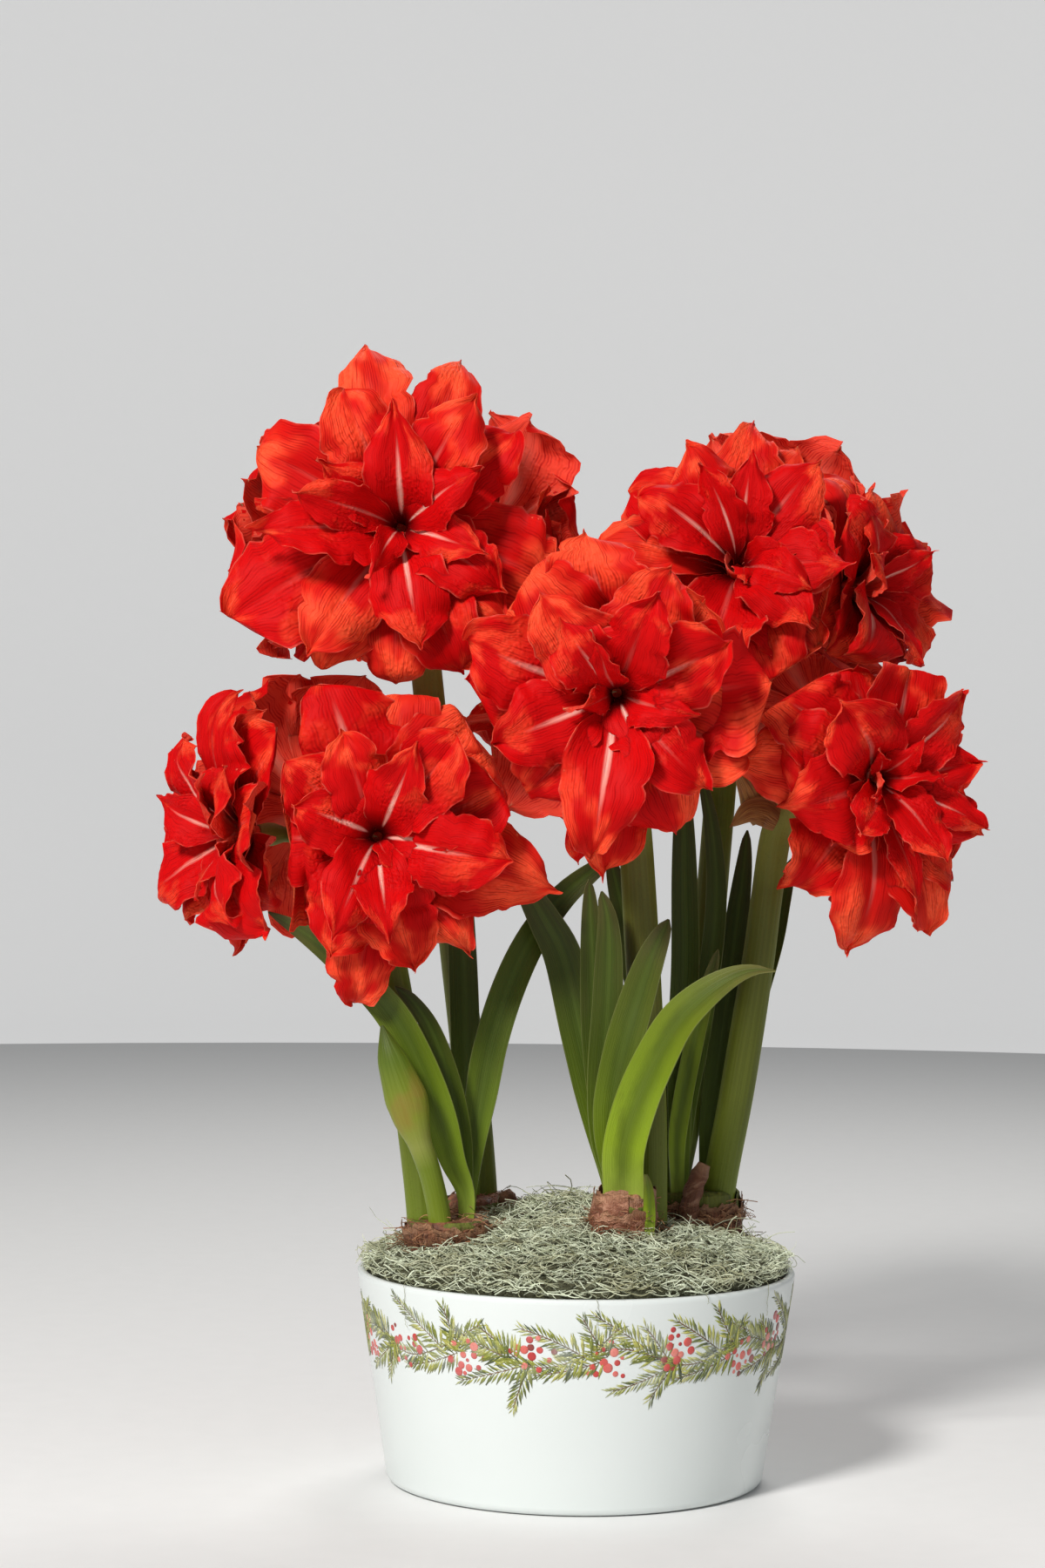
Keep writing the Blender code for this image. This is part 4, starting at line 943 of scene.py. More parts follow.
def petal_outline(t, s, level, draw):
    """Half widths as shares: narrow claw, broad blade, round or drawn-out tip, nicked margins."""
    if draw.random() < POINTED_SHARE[level]:
        widest = draw.uniform(0.42, 0.54)
        power, blunt = draw.uniform(1.35, 1.8), draw.uniform(0.95, 1.15)
    else:
        widest = draw.uniform(0.50, 0.64)
        power, blunt = draw.uniform(1.9, 2.7), draw.uniform(1.25, 1.75)
    rise = np.sin(math.pi / 2 * np.minimum(t / widest, 1)) ** 1.15
    past = np.clip((t * 1.04 - widest) / (1 - widest), 0, 1)
    point = draw.uniform(0.08, 0.16) * np.sqrt(np.clip((1 - t) / 0.12, 0, 1))
    blade = np.maximum(rise * (1 - past ** power) ** (1 / blunt), np.maximum(0.16 * (1 - t), point))
    sides = []
    for _ in range(2):
        edge = 1 + 0.045 * np.sin(t * draw.uniform(12, 20) + draw.uniform(0, 6))
        edge = edge + 0.03 * np.sin(t * draw.uniform(38, 58) + draw.uniform(0, 6))
        for _ in range(draw.randint(0, 3)):
            place, deep, long = draw.uniform(0.4, 0.95), draw.uniform(0.04, 0.2), draw.uniform(0.014, 0.03)
            edge = edge - deep * np.exp(-((t - place) / long) ** 2)
        sides.append(np.maximum(blade * edge, 0.012))
    return np.where(s[None] < 0, sides[0][:, None], sides[1][:, None])


def petal_section(t, s, draw):
    """Cross-section: raised margins low down, then two bowed lobes with a groove."""
    cup = np.radians(draw.uniform(34, 66) * (1 - smooth(t, 0.1, 0.75)) + draw.uniform(-24, 20))
    cup = np.where(np.abs(cup) < 0.02, 0.02, cup)[:, None]
    spread = np.sin(s[None] * cup) / cup
    depth = (1 - np.cos(s[None] * cup)) / cup
    lobes = draw.uniform(0.06, 0.15) * np.sin(math.pi * np.abs(s)[None] ** 0.8) * smooth(t, 0.1, 0.5)[:, None]
    return spread, depth + lobes


def petal_ruffle(t, s, width, draw):
    """Waves that grow towards the margins, pleats along the blade and soft buckles over it."""
    margin = np.abs(s)[None] ** 2.2 * smooth(t, 0.12, 0.5)[:, None]
    edge = np.abs(s)[None] ** 6 * smooth(t, 0.2, 0.5)[:, None]
    waves = np.zeros((len(t), len(s)))
    for sign in (-1, 1):
        slow = np.sin(t * draw.uniform(8, 15) + draw.uniform(0, 6)) * draw.uniform(0.06, 0.15)
        fast = np.sin(t * draw.uniform(24, 36) + draw.uniform(0, 6)) * draw.uniform(0.02, 0.045)
        crimp = np.sin(t * draw.uniform(48, 66) + draw.uniform(0, 6)) * draw.uniform(0.01, 0.03)
        own = np.where(np.sign(s) == sign, width, 0.0)[None]
        waves += own * ((slow + fast)[:, None] * margin + crimp[:, None] * edge)
    blade = smooth(t, 0.15, 0.5)[:, None]
    pleats = np.cos(s[None] * draw.uniform(6, 12) + t[:, None] * draw.uniform(-2, 2)) * draw.uniform(0.2, 0.7)
    along, across = t[:, None], s[None]
    buckles = np.sin(along * draw.uniform(11, 19) + across * draw.uniform(-4, 4) + draw.uniform(0, 6)) * 0.7
    swell = np.sin(along * draw.uniform(3, 7) + across * draw.uniform(-2.5, 2.5) + draw.uniform(0, 6)) * 1.9
    return waves + (pleats + buckles * (1 - np.abs(s)[None] ** 3) + swell) * blade * min(width / 45, 1.0)


def reach_towards(bloom, angle):
    """How far the bloom reaches at an angle, counted from the viewer's right."""
    right, up, left, down = BLOOMS[bloom][3]
    turn = math.radians(angle)
    level = right if math.cos(turn) > 0 else left
    upright = up if math.sin(turn) > 0 else down
    return level * math.cos(turn) ** 2 + upright * math.sin(turn) ** 2


def rule_petals(bloom, draw):
    """Petals of a bloom at the side or back, set out by its whorls, with a few torn strips."""
    petals = []
    for level, (count, share) in enumerate(zip(RULE_COUNTS, RULE_REACH)):
        for index in range(count):
            angle = BLOOMS[bloom][4] + 40 * level + 360 * index / count + draw.uniform(-10, 10)
            reach = reach_towards(bloom, angle)
            width = WHORLS[level]["width"] * draw.uniform(0.8, 1.12) * (0.3 + 0.7 * reach / FULL_REACH)
            streak = draw.uniform(0.1, 1.0) if level > 1 else 0.1
            reach = reach * share * draw.uniform(0.93, 1.05)
            petals.append((level, angle, reach, width, draw.uniform(-20, 20), streak))
    for index in range(RULE_STRIPS):
        angle = draw.uniform(0, 360)
        petals.append((index % 2, angle, reach_towards(bloom, angle) * draw.uniform(0.9, 1.06),
                       draw.uniform(13, 22), draw.uniform(-80, 80), 0.1))
    return petals


def add_throat(sheaf, axes, tone):
    """The short tube that the petals rise from, open at the throat."""
    right, upward, axis, foot = axes
    outline = [(4.6, 0.2), (6.0, 6), (7.4, 14), (8.6, 20), (8.2, 20.4), (6.4, 15), (4.0, 8), (1.0, 5)]
    turn = whole_turn(20)
    ring = right[None] * np.cos(turn)[:, None] + upward[None] * np.sin(turn)[:, None]
    rings = np.stack([foot + axis * height + ring * radius for radius, height in outline])
    sheaf.add_tube(rings, (0.0, tone, 0.0))


def petal_tone(level, draw):
    """How much painted orange highlight a petal gets: more on the outer petals than on the shadier inner
    ones, with a random spread.
    """
    return min(max(0.62 - 0.14 * level + draw.uniform(-0.34, 0.34), 0.0), 1.0)


def listed_petals(bloom):
    """Petals of a bloom that faces the front, as its table gives them."""
    return [(level, *petal, *PLAIN_PETAL[len(petal) - 3:])
            for level, whorl in enumerate(PETALS[bloom]) for petal in whorl]


def make_blooms(materials):
    for seed, bloom in enumerate(BLOOMS):
        draw = random.Random(BLOOM_SEED + seed)
        axes = bloom_axes(bloom)
        planes = cell_planes(bloom)
        sheaf = Sheaf()
        add_throat(sheaf, axes, draw.random())
        listed = bloom in PETALS
        rows, columns = FRONT_PETAL_GRID if listed else RULE_PETAL_GRID
        petals = listed_petals(bloom) if listed else rule_petals(bloom, draw)
        for level, angle, reach, width, twist, streak in petals:
            size = (rows, columns if width > STRIP_WIDTH else STRIP_COLUMNS)
            s = np.abs(np.linspace(-1, 1, size[1]))[None]
            thick = PETAL_THICK * (1.5 - 0.8 * s) * np.linspace(1.2, 0.7, rows)[:, None]
            state = draw.getstate()
            for _ in range(SHORTENINGS):
                draw.setstate(state)
                grid = petal_grid(axes, size, level, angle, reach, width, twist, draw)
                if min((limit - (grid @ normal).max() for normal, limit in planes), default=0) > -OVERREACH:
                    break
                reach *= 0.94
            tone = petal_tone(level, draw)
            sheaf.add_sheet(held_inside(grid, planes), thick, (1.0, tone, streak), (0.0, tone, streak))
        keep(sheaf.make("flower_" + bloom, [materials["petal"]]), "petal", "bloom_" + bloom)


def add_pedicel(sheaf, bloom, top, grow, order, tint):
    """A flower's own stalk, from the top of the scape to the end of its ovary."""
    axis = facing(BLOOMS[bloom][2])
    start = top - grow * (5 + 3 * order)
    end = np.array(BLOOMS[bloom][1]) - axis * (THROAT_DEPTH + 0.3)
    neck = end - axis * OVARY_LENGTH
    pull = np.linalg.norm(neck - start) * 0.4
    t = np.linspace(0, 1, 12)[:, None]
    bend = (start * (1 - t) ** 3 + (start + grow * pull) * 3 * t * (1 - t) ** 2
            + (neck - axis * pull) * 3 * t * t * (1 - t) + neck * t ** 3)
    route = np.concatenate([bend, neck + axis * np.linspace(3, OVARY_LENGTH, 5)[:, None]])
    radius = np.concatenate([np.linspace(4.8, 4.2, 12), [5.2, 6.1, 6.3, 5.9, 5.2]])
    turn = whole_turn(12)
    along = directions(route)
    side = unit(np.cross(axis, UP + 0.01 * axis))
    rings = []
    for point, heading, size in zip(route, along, radius):
        side = unit(side - heading * side.dot(heading))
        other = np.cross(heading, side)
        rings.append(point + (side * np.cos(turn)[:, None] + other * np.sin(turn)[:, None]) * size)
    sheaf.add_tube(np.stack(rings), tint)


def make_scapes(materials):
    for seed, (name, (radii, brown, route)) in enumerate(SCAPES.items()):
        draw = random.Random(SCAPE_SEED + seed)
        line = smooth_route(route, 64)
        t = np.linspace(0, 1, 64)
        radius = radii[0] + (radii[1] - radii[0]) * t + 0.18 * np.sin(t * 9 + seed)
        radius = radius + 0.9 * smooth(t, 0.94, 1.0)
        sheaf = Sheaf()
        tint = (brown, draw.random(), 0.0)
        sheaf.add_tube(rings_along(line, radius, radius * 0.96, 28), tint)
        grow = unit(line[-1] - line[-4])
        carried = [bloom for bloom in BLOOMS if BLOOMS[bloom][0] == name]
        for order, bloom in enumerate(carried):
            add_pedicel(sheaf, bloom, line[-1], grow, order, (brown * 0.4, draw.random(), 0.0))
        keep(sheaf.make("stalk_" + name, [materials["stem"]]), "scape", "scape_" + name)


def make_bud(materials):
    route = smooth_route(BUD_ROUTE, BUD_ROWS)
    steps = np.linalg.norm(np.diff(np.array(BUD_ROUTE, dtype=float), axis=0), axis=1)
    lengths = np.concatenate([[0], np.cumsum(steps)])
    wanted = np.linspace(0, lengths[-1], BUD_ROWS)
    radii = [np.interp(wanted, lengths, row) for row in zip(*BUD_RADII)]
    for row in radii:
        row[1:-1] = np.convolve(row, (0.25, 0.5, 0.25), "valid")
    sheaf = Sheaf()
    sheaf.add_tube(rings_along(route, *radii, 28), (0.2, 0.5, 0.0))
    keep(sheaf.make("bud_sheathed", [materials["bud"]]), "scape", "bud")


def make_leaves(materials):
    s = np.linspace(-1, 1, LEAF_COLUMNS)
    t = np.linspace(0, 1, LEAF_ROWS)
    for seed, (name, row) in enumerate(LEAVES.items()):
        foot_height, half_width, turn_foot, turn_tip, leaf_lit_share, knots = row
        draw = random.Random(LEAF_SEED + seed)
        route = smooth_route([(*knots[0][:2], foot_height)] + knots, LEAF_ROWS)
        along = directions(route)
        turn = np.radians(turn_foot + (turn_tip - turn_foot) * smooth(t))[:, None]
        level = unit(np.cross(along, FRONT))
        ahead = unit(np.cross(level, along))
        side = level * np.cos(turn) + ahead * np.sin(turn)
        front = ahead * np.cos(turn) - level * np.sin(turn)
        foot_share = LEAF_FOOT_SHARES.get(name, LEAF_FOOT_SHARE)
        narrow_foot = foot_share + (1 - foot_share) * smooth(t, 0.02, 0.40)
        taper = np.maximum(1 - np.maximum((t - 0.5) / 0.5, 0) ** 2.6, 0.0)
        taper = taper ** LEAF_TIP_POWERS.get(name, LEAF_TIP_POWER)
        half = (half_width * narrow_foot * np.maximum(taper, 0.04))[:, None]
        wave = 0.25 * np.sin(t * draw.uniform(14, 22) + draw.uniform(0, 6))[:, None] * s[None] ** 3
        lift = half * LEAF_CHANNEL * smooth(t, 0, 0.2)[:, None] * np.abs(s)[None] ** 1.5 + wave
        grid = route[:, None] + side[:, None] * (half * s[None])[..., None] + front[:, None] * lift[..., None]
        thick = (LEAF_THICK_BASE + (LEAF_THICK_TIP - LEAF_THICK_BASE) * t)[:, None] * (1 - 0.6 * s[None] ** 2)
        tone = draw.random()
        sheaf = Sheaf()
        sheaf.add_sheet(grid, thick, (leaf_lit_share, tone, 1.0), (leaf_lit_share, tone, 0.0))
        keep(sheaf.make("strap_" + name, [materials["leaf"]]), "leaf", "leaf_" + name)


def make_spathes(materials):
    s = np.linspace(-1, 1, 11)
    t = np.linspace(0, 1, SPATHE_ROWS)
    for seed, (name, (half_width, knots)) in enumerate(SPATHES.items()):
        draw = random.Random(SPATHE_SEED + seed)
        route = smooth_route(knots, SPATHE_ROWS)
        along = directions(route)
        side = unit(np.cross(along, np.array((0.15, -1, 0.35))))
        front = unit(np.cross(side, along))
        half = half_width * (0.35 + 0.65 * np.sin(math.pi * np.minimum(0.15 + 0.85 * t, 1)) ** 0.7)
        half = (half * (1 - t ** 2.2) ** 0.8)[:, None]
        fold = -half * 0.25 * np.abs(s)[None] ** 1.4
        crease = 0.5 * np.sin(t * 17 + draw.uniform(0, 6))[:, None] * s[None] ** 2
        grid = route[:, None] + side[:, None] * (half * s[None])[..., None]
        grid = grid + front[:, None] * (fold + crease)[..., None]
        green = 1.0 if name == "upper_right" else 0.0
        sheaf = Sheaf()
        sheaf.add_sheet(grid, 0.8, (green, draw.random(), 0.0), (green, draw.random(), 0.0))
        keep(sheaf.make("bract_" + name, [materials["bract"]]), "spathe", "spathe_" + name)


def crumple(turn, height, draw, depth):
    """Wrinkles that run round a neck and slant up it."""
    total = np.zeros(np.broadcast(turn, height).shape)
    for waves in (3, 5, 8, 13, 19):
        slant = draw.uniform(-0.5, 0.5)
        total = total + np.sin(turn * waves + height * slant + draw.uniform(0, 6)) / waves ** 0.6
    rings = np.sin(height * draw.uniform(1.2, 1.9) + np.sin(turn * 3 + draw.uniform(0, 6)) * 1.6)
    return depth * (total * 0.6 + rings * 0.45)


def around(centre, radius, turn, height):
    """Points at a radius, angle and height round a centre."""
    x, y = centre[0] + radius * np.cos(turn), centre[1] + radius * np.sin(turn)
    return np.stack(np.broadcast_arrays(x, y, height), axis=-1)


def add_wrap(sheaf, name, draw, shine):
    """The crinkled dry skin that closes in round the stems at the top of a neck."""
    centre, neck_radius, top = NECKS[name]
    turn = whole_turn(56)
    rings = []
    for rise, inset in NECK_WRAPS[name]:
        waves = crumple(turn, top + rise, draw_like(draw), 1.0)
        rings.append(around(centre, neck_radius - inset + 0.9 * waves, turn, top + rise + waves))
    sheaf.add_tube(np.stack(rings), (0.4, 0.0, shine))


def draw_like(draw):
    """A fresh stream of draws that starts where this one stands."""
    copy = random.Random()
    copy.setstate(draw.getstate())
    return copy


def add_flake(sheaf, name, draw, middle, span, reach_up, shine):
    """One torn scale against a neck, at an angle round it and that wide, ending this far over its top."""
    centre, neck_radius, top = NECKS[name]
    s = np.linspace(-1, 1, 15)
    t = np.linspace(0, 1, 10)[:, None]
    torn = draw.uniform(0.8, 2.0) * np.sin(s * draw.uniform(2, 6) + draw.uniform(0, 6))
    torn = torn + draw.uniform(-2, 2) * s
    torn = torn + np.array([draw.uniform(-0.9, 0.9) for _ in s])
    bottom = top - FLAKE_DROP
    height = bottom + (top + reach_up + torn - bottom)[None] * t
    turn = np.broadcast_to(np.radians(middle + span / 2 * s)[None], height.shape)
    inward, outward = (-5.0, 1.0) if reach_up > 0 else (-0.3, 2.6)
    lean = draw.uniform(inward, outward) * smooth(t, 0.5, 1.0)
    radius = neck_radius + 1.2 + lean + crumple(turn, height, draw, 0.5)
    tone = draw.random()
    # The inner face carries 1 in the second tint, which the tunic paints as shade.
    sheaf.add_sheet(around(centre, radius, turn, height), 0.4, (tone, 0.0, shine), (tone, 1.0, shine))


def add_sheath(sheaf):
    """The pale sheath at the front neck, in the sheaf's second material."""
    t = np.linspace(0, 1, 20)
    s = np.linspace(-1, 1, 7)[None]
    half = (SHEATH_HALF_WIDTH * np.sqrt(np.maximum(1 - t ** 2.5, 0.02)))[:, None]
    route = smooth_route(SHEATH_ROUTE, 20)
    offset = np.stack(np.broadcast_arrays(half * s, 1.2 * np.abs(s) ** 2, 0.0), axis=-1)
    sheaf.add_sheet(route[:, None] + offset, 0.7, (1.0, 0.4, 1.0), (1.0, 0.4, 0.0), 1)


def add_stub(sheaf, name):
    """The dried stump of an old stalk beside a neck."""
    route = smooth_route(STUBS[name], 14)
    radius = np.array([5.2] * 10 + [4.8, 4.6, 4.4, 3.6]) + 0.5 * np.sin(np.arange(14) * 1.9)
    sheaf.add_tube(rings_along(route, radius, radius * 0.8, 14), (0.7, 0.2, 0.6))


def make_tunics(materials):
    """Crinkled skins and torn scales round the bulbs' necks."""
    for seed, name in enumerate(NECKS):
        draw = random.Random(NECK_SEED + seed)
        sheaf = Sheaf()
        shine = 1.0 if name == "front" else 0.0
        if name in NECK_WRAPS:
            add_wrap(sheaf, name, draw, shine)
        count, lowest, highest = FLAKES[name]
        for index in range(count):
            middle = index * 360 / count + draw.uniform(-24, 24)
            span = draw.uniform(34, 76) + 40 * shine
            add_flake(sheaf, name, draw, middle, span, draw.uniform(lowest, highest), shine)
        if name == "front":
            add_sheath(sheaf)
        if name in STUBS:
            add_stub(sheaf, name)
        keep(sheaf.make("tunic_" + name, [materials["tunic"], materials["leaf"]]), "bulb_tunic")


def make_pot(materials):
    """Round pot turned from its outline, with a softly rounded rim and foot."""
    inner_base = POT_BASE_RADIUS - POT_WALL
    outline = [(POT_BASE_RADIUS + proud, height) for proud, height in (
        (-3.4, 0.0), (-2.2, 0.15), (-0.9, 0.8), (0.1, 2.0))]
    outline += [(POT_BASE_RADIUS + POT_SLOPE * height, height) for height in (4, 20, 40, 60, 80, 100, 109)]
    outline += [(POT_RIM_RADIUS - inset, height) for inset, height in (
        (0.3, 110.6), (0.8, 111.6), (1.6, 112.0), (3.4, 112.0), (4.3, 111.6), (5.0, 110.6))]
    outline += [(inner_base + POT_SLOPE * height, height) for height in (100, 70, 40, 12)]
    outline += [(inner_base - 1.0, POT_FLOOR + 1.5), (inner_base - 3.0, POT_FLOOR)]
    turn = whole_turn(POT_SIDES)
    sheaf = Sheaf()
    rings = [around((0, 0), radius, turn, height) for radius, height in outline]
    sheaf.add_tube(np.stack(rings), (0.0, 0.0, 0.0))
    keep(sheaf.make("pot_glazed", [materials["glaze"]], 40), "pot_glaze", "pot")


def new_tree(name, **inputs):
    """The graph and the start of an empty geometry tree with these inputs, after its mesh."""
    tree = bpy.data.node_groups.new(name, "GeometryNodeTree")
    for label, kind in {"Geometry": "Geometry", **inputs}.items():
        tree.interface.new_socket(label, in_out="INPUT", socket_type="NodeSocket" + kind)
    tree.interface.new_socket("Geometry", in_out="OUTPUT", socket_type="NodeSocketGeometry")
    graph = Graph(tree)
    return graph, graph.node("NodeGroupInput")


def end_tree(graph, geometry, material):
    """Realize Instances, Set Material and the group's output."""
    whole = graph.realized(geometry)
    done = graph.node("GeometryNodeSetMaterial", (), {"Geometry": whole, "Material": material})
    graph.node("NodeGroupOutput", (), {0: done})
    return graph.tree


def grow(name, base, tree, values):
    """Run a tree on a base mesh and give its result as a plain piece."""
    source = put_in_scene(name + "_base", base)
    modifier = source.modifiers.new("grow", "NODES")
    modifier.node_group = tree
    for item in tree.interface.items_tree:
        if item.in_out == "INPUT" and item.name in values:
            modifier[item.identifier] = values[item.name]
    bpy.context.view_layer.update()
    depsgraph = bpy.context.evaluated_depsgraph_get()
    mesh = bpy.data.meshes.new_from_object(source.evaluated_get(depsgraph))
    source.modifiers.remove(modifier)
    bpy.data.objects.remove(source, do_unlink=True)
    mesh.name = name
    mesh.shade_smooth()
    return put_in_scene(name, mesh)


def plain_mesh(name, points, edges=(), faces=()):
    mesh = bpy.data.meshes.new(name)
    mesh.from_pydata((np.asarray(points) * MM).tolist(), list(edges), list(faces))
    return mesh


def strand_tree():
    """Scatter curled strands over a mound, and settle them on it and its rim."""
    graph, start = new_tree(
        "curled_strands", Strands="Collection", Density="Float", Seed="Int", Smallest="Float",
        Largest="Float", Tilt="Float", Edge="Float", Settle="Float", Rise="Float", Material="Material")
    seed, tilt, edge = start.output("Seed"), start.output("Tilt"), start.output("Edge")
    spots = graph.node("GeometryNodeDistributePointsOnFaces", (), {
        "Mesh": start, "Density": start.output("Density"), "Seed": seed})
    strands = graph.node("GeometryNodeCollectionInfo", (), {
        "Collection": start.output("Strands"), "Separate Children": True, "Reset Children": True})
    turned = graph.node("FunctionNodeRandomValue", {"data_type": "FLOAT_VECTOR"}, {
        0: graph.vector(tilt * -1, tilt * -1, 0.0), 1: graph.vector(tilt, tilt, FULL_TURN), "Seed": seed})
    size = graph.random(start.output("Smallest"), start.output("Largest"), seed + 1)
    chosen = graph.node("FunctionNodeRandomValue", {"data_type": "INT"}, {4: 0, 5: 40, "Seed": seed + 2}, 2)
    placed = graph.node("GeometryNodeInstanceOnPoints", (), {
        "Points": spots, "Instance": strands, "Pick Instance": True, "Instance Index": chosen,
        "Rotation": turned, "Scale": size})
    whole = graph.realized(graph.toned(placed, seed + 3))
    x, y, z = graph.position()
    radius = (x * x + y * y) ** 0.5
    kept = radius.math("MINIMUM", edge + (radius - edge).math("MAXIMUM", 0.0) * 0.25) / radius
    mound = (1 - (radius / (POT_RIM_RADIUS * MM)).math("MINIMUM", 1.0) ** MOSS_POWER) * start.output("Rise")
    settled = z.math("MAXIMUM", mound + start.output("Settle"))
    return end_tree(graph, graph.moved(whole, x * kept, y * kept, settled), start.output("Material"))


def curl_points(draw, length, curliness):
    """A curled path that lies near the ground."""
    heading = 0.0
    bend = draw.uniform(-1, 1) * curliness
    points = [np.zeros(3)]
    for _ in range(CURL_POINTS - 1):
        bend += draw.uniform(-0.22, 0.22) * curliness
        bend = max(min(bend, curliness * 1.3), -curliness * 1.3)
        heading += bend
        step = length / (CURL_POINTS - 1)
        points.append(points[-1] + np.array((math.cos(heading), math.sin(heading), 0.0)) * step)
    points = np.array(points)
    points -= points.mean(0)
    t = np.linspace(0, 1, CURL_POINTS)
    points[:, 2] = 1.4 + 1.5 * np.sin(t * draw.uniform(5, 11) + draw.uniform(0, 6)) + draw.uniform(0, 1.6) * t
    return points


def strand_collection(name, seed, count, length, curliness, radius):
    """Strand shapes for a tree to pick from."""
    draw = random.Random(seed)
    group = bpy.data.collections.new(name)
    bpy.context.scene.collection.children.link(group)
    for index in range(count):
        route = curl_points(draw, draw.uniform(*length), curliness)
        size = radius * draw.uniform(0.8, 1.2) * np.linspace(1.0, 0.7, len(route))
        sheaf = Sheaf()
        sheaf.add_tube(rings_along(route, size, size, 3, UP), (0.0, 0.0, 0.0))
        strand = sheaf.make(f"{name}_{index:02d}", [])
        bpy.context.scene.collection.objects.unlink(strand)
        group.objects.link(strand)
    return group


def drop_collection(group):
    for strand in list(group.objects):
        bpy.data.objects.remove(strand, do_unlink=True)
    bpy.data.collections.remove(group)


def mound_height(radius):
    return MOSS_EDGE_TOP + MOSS_RISE * (1 - np.minimum(radius / POT_RIM_RADIUS, 1.0) ** MOSS_POWER)


def mound_mesh(name, wanted):
    """Small faces over the mound wherever wanted(x, y) holds, heaped up at the middle of the back."""
    points, faces = [], []
    steps = int(MOSS_REACH / MOSS_STEP) + 1
    heap_x, heap_y, heap_height, heap_spread = MOSS_HEAP
    for row in range(-steps, steps):
        for column in range(-steps, steps):
            x, y = (column + 0.5) * MOSS_STEP, (row + 0.5) * MOSS_STEP
            if math.hypot(x, y) > MOSS_REACH or not wanted(x, y):
                continue
            first = len(points)
            for right, back in ((0, 0), (1, 0), (1, 1), (0, 1)):
                px, py = (column + right) * MOSS_STEP, (row + back) * MOSS_STEP
                heap = heap_height * math.exp(-(math.hypot(px - heap_x, py - heap_y) / heap_spread) ** 2)
                points.append((px, py, mound_height(math.hypot(px, py)) + heap))
            faces.append(range(first, first + 4))
    return plain_mesh(name, points, (), faces)


def neck_distance(x, y):
    """How far a place on the mound is from the nearest bulb neck."""
    return min(math.hypot(x - centre[0], y - centre[1]) - radius for centre, radius, _ in NECKS.values())


def ring_mesh(name, centre, inner, outer, sides=72):
    """A sloping band round a centre, from an inner radius and height to outer ones."""
    turn = whole_turn(sides)
    rows = [around(centre, radius, turn, height) for radius, height in (inner, outer)]
    low = [(index, (index + 1) % sides) for index in range(sides)]
    faces = [(index, index + sides, after + sides, after) for index, after in low]
    return plain_mesh(name, np.concatenate(rows), (), faces)


def add_hanging_strands(sheaf):
    """Thin strands that hang over the pot's rim, down its side."""
    draw = random.Random(HANGING_SEED)
    t = np.linspace(0, 1, 24)
    for turn, drop in HANGING_STRANDS:
        sway = np.sin(t * draw.uniform(4, 8) + draw.uniform(0, 6)) * 0.012
        angle = math.radians(turn) + sway + np.cumsum([draw.uniform(-0.006, 0.006) for _ in t])
        height = 115 - drop * smooth(t, 0.12, 1.0)
        radius = np.where(height > POT_HEIGHT, POT_RIM_RADIUS - 4 + 4.6 * smooth(t, 0, 0.3),
                          POT_BASE_RADIUS + POT_SLOPE * height + 0.5 + 1.4 * smooth(t, 0.5, 1.0))
        route = np.stack([radius * np.sin(angle), -radius * np.cos(angle), height], axis=-1)
        sheaf.add_tube(rings_along(route, 0.13, 0.13, 4, UP), (0.0, 0.0, 0.0))


def make_moss(materials):
    tree = strand_tree()
    curls = strand_collection("curl", 31, 24, (20, 34), 0.74, 0.34)
    strays = strand_collection("stray", 32, 10, (30, 60), 0.42, 0.26)
    fibres = strand_collection("fibre", 33, 14, (16, 34), 0.2, 0.24)
    open_ground = mound_mesh("open_ground", lambda x, y: neck_distance(x, y) > 2.0)
    all_round = mound_mesh("all_round", lambda x, y: neck_distance(x, y) > 4.0)
    collars = mound_mesh("collars", lambda x, y: -2.0 < neck_distance(x, y) < 7.0)
    rim = ring_mesh("rim", (0, 0), RIM_INNER, RIM_OUTER)
    mound = (MOSS_SETTLE, MOSS_RISE)
    # Name, base, strands, density, seed, tilt, edge, height at the rim and rise to the middle, finish
    plan = [
        ("moss_curls", open_ground, curls, 66000.0, 1, 0.32, 0.1165, mound, "moss"),
        ("moss_strays", all_round, strays, 8000.0, 2, 0.7, 0.118, mound, "moss"),
        ("moss_rim", rim, curls, 90000.0, 6, 0.22, 0.1135, (RIM_SETTLE, 0.0), "moss"),
        ("collar_fibres", collars, fibres, 30000.0, 3, 0.36, 0.111, mound, "fibre"),
    ]
    for seed, (name, (middle, outside, spread)) in enumerate(NESTS.items()):
        centre, radius, _ = NECKS[name]
        nest = ring_mesh("nest", centre, (radius * 0.35, middle), (radius + spread, outside))
        plan.append(("nest_" + name, nest, fibres, 85000.0, 10 + seed, 0.42, 0.111, mound, "nest"))
    for name, base, group, density, seed, tilt, edge, (settle, rise), finish in plan:
        keep(grow(name, base, tree, {
            "Strands": group, "Density": density, "Seed": seed, "Smallest": 0.75, "Largest": 1.15,
            "Tilt": tilt, "Edge": edge, "Settle": settle * MM, "Rise": rise * MM,
            "Material": materials[finish]}), "moss")
    for group in (curls, strays, fibres):
        drop_collection(group)
    sheaf = Sheaf()
    add_hanging_strands(sheaf)
    keep(sheaf.make("moss_hanging", [materials["moss"]]), "moss")


# Painted garland round the pot
GARLAND_RADIUS = POT_BASE_RADIUS + POT_SLOPE * 84.0
GARLAND_LENGTH = math.tau * GARLAND_RADIUS
GARLAND_STATIONS = 18
GARLAND_HEIGHT = 82.0

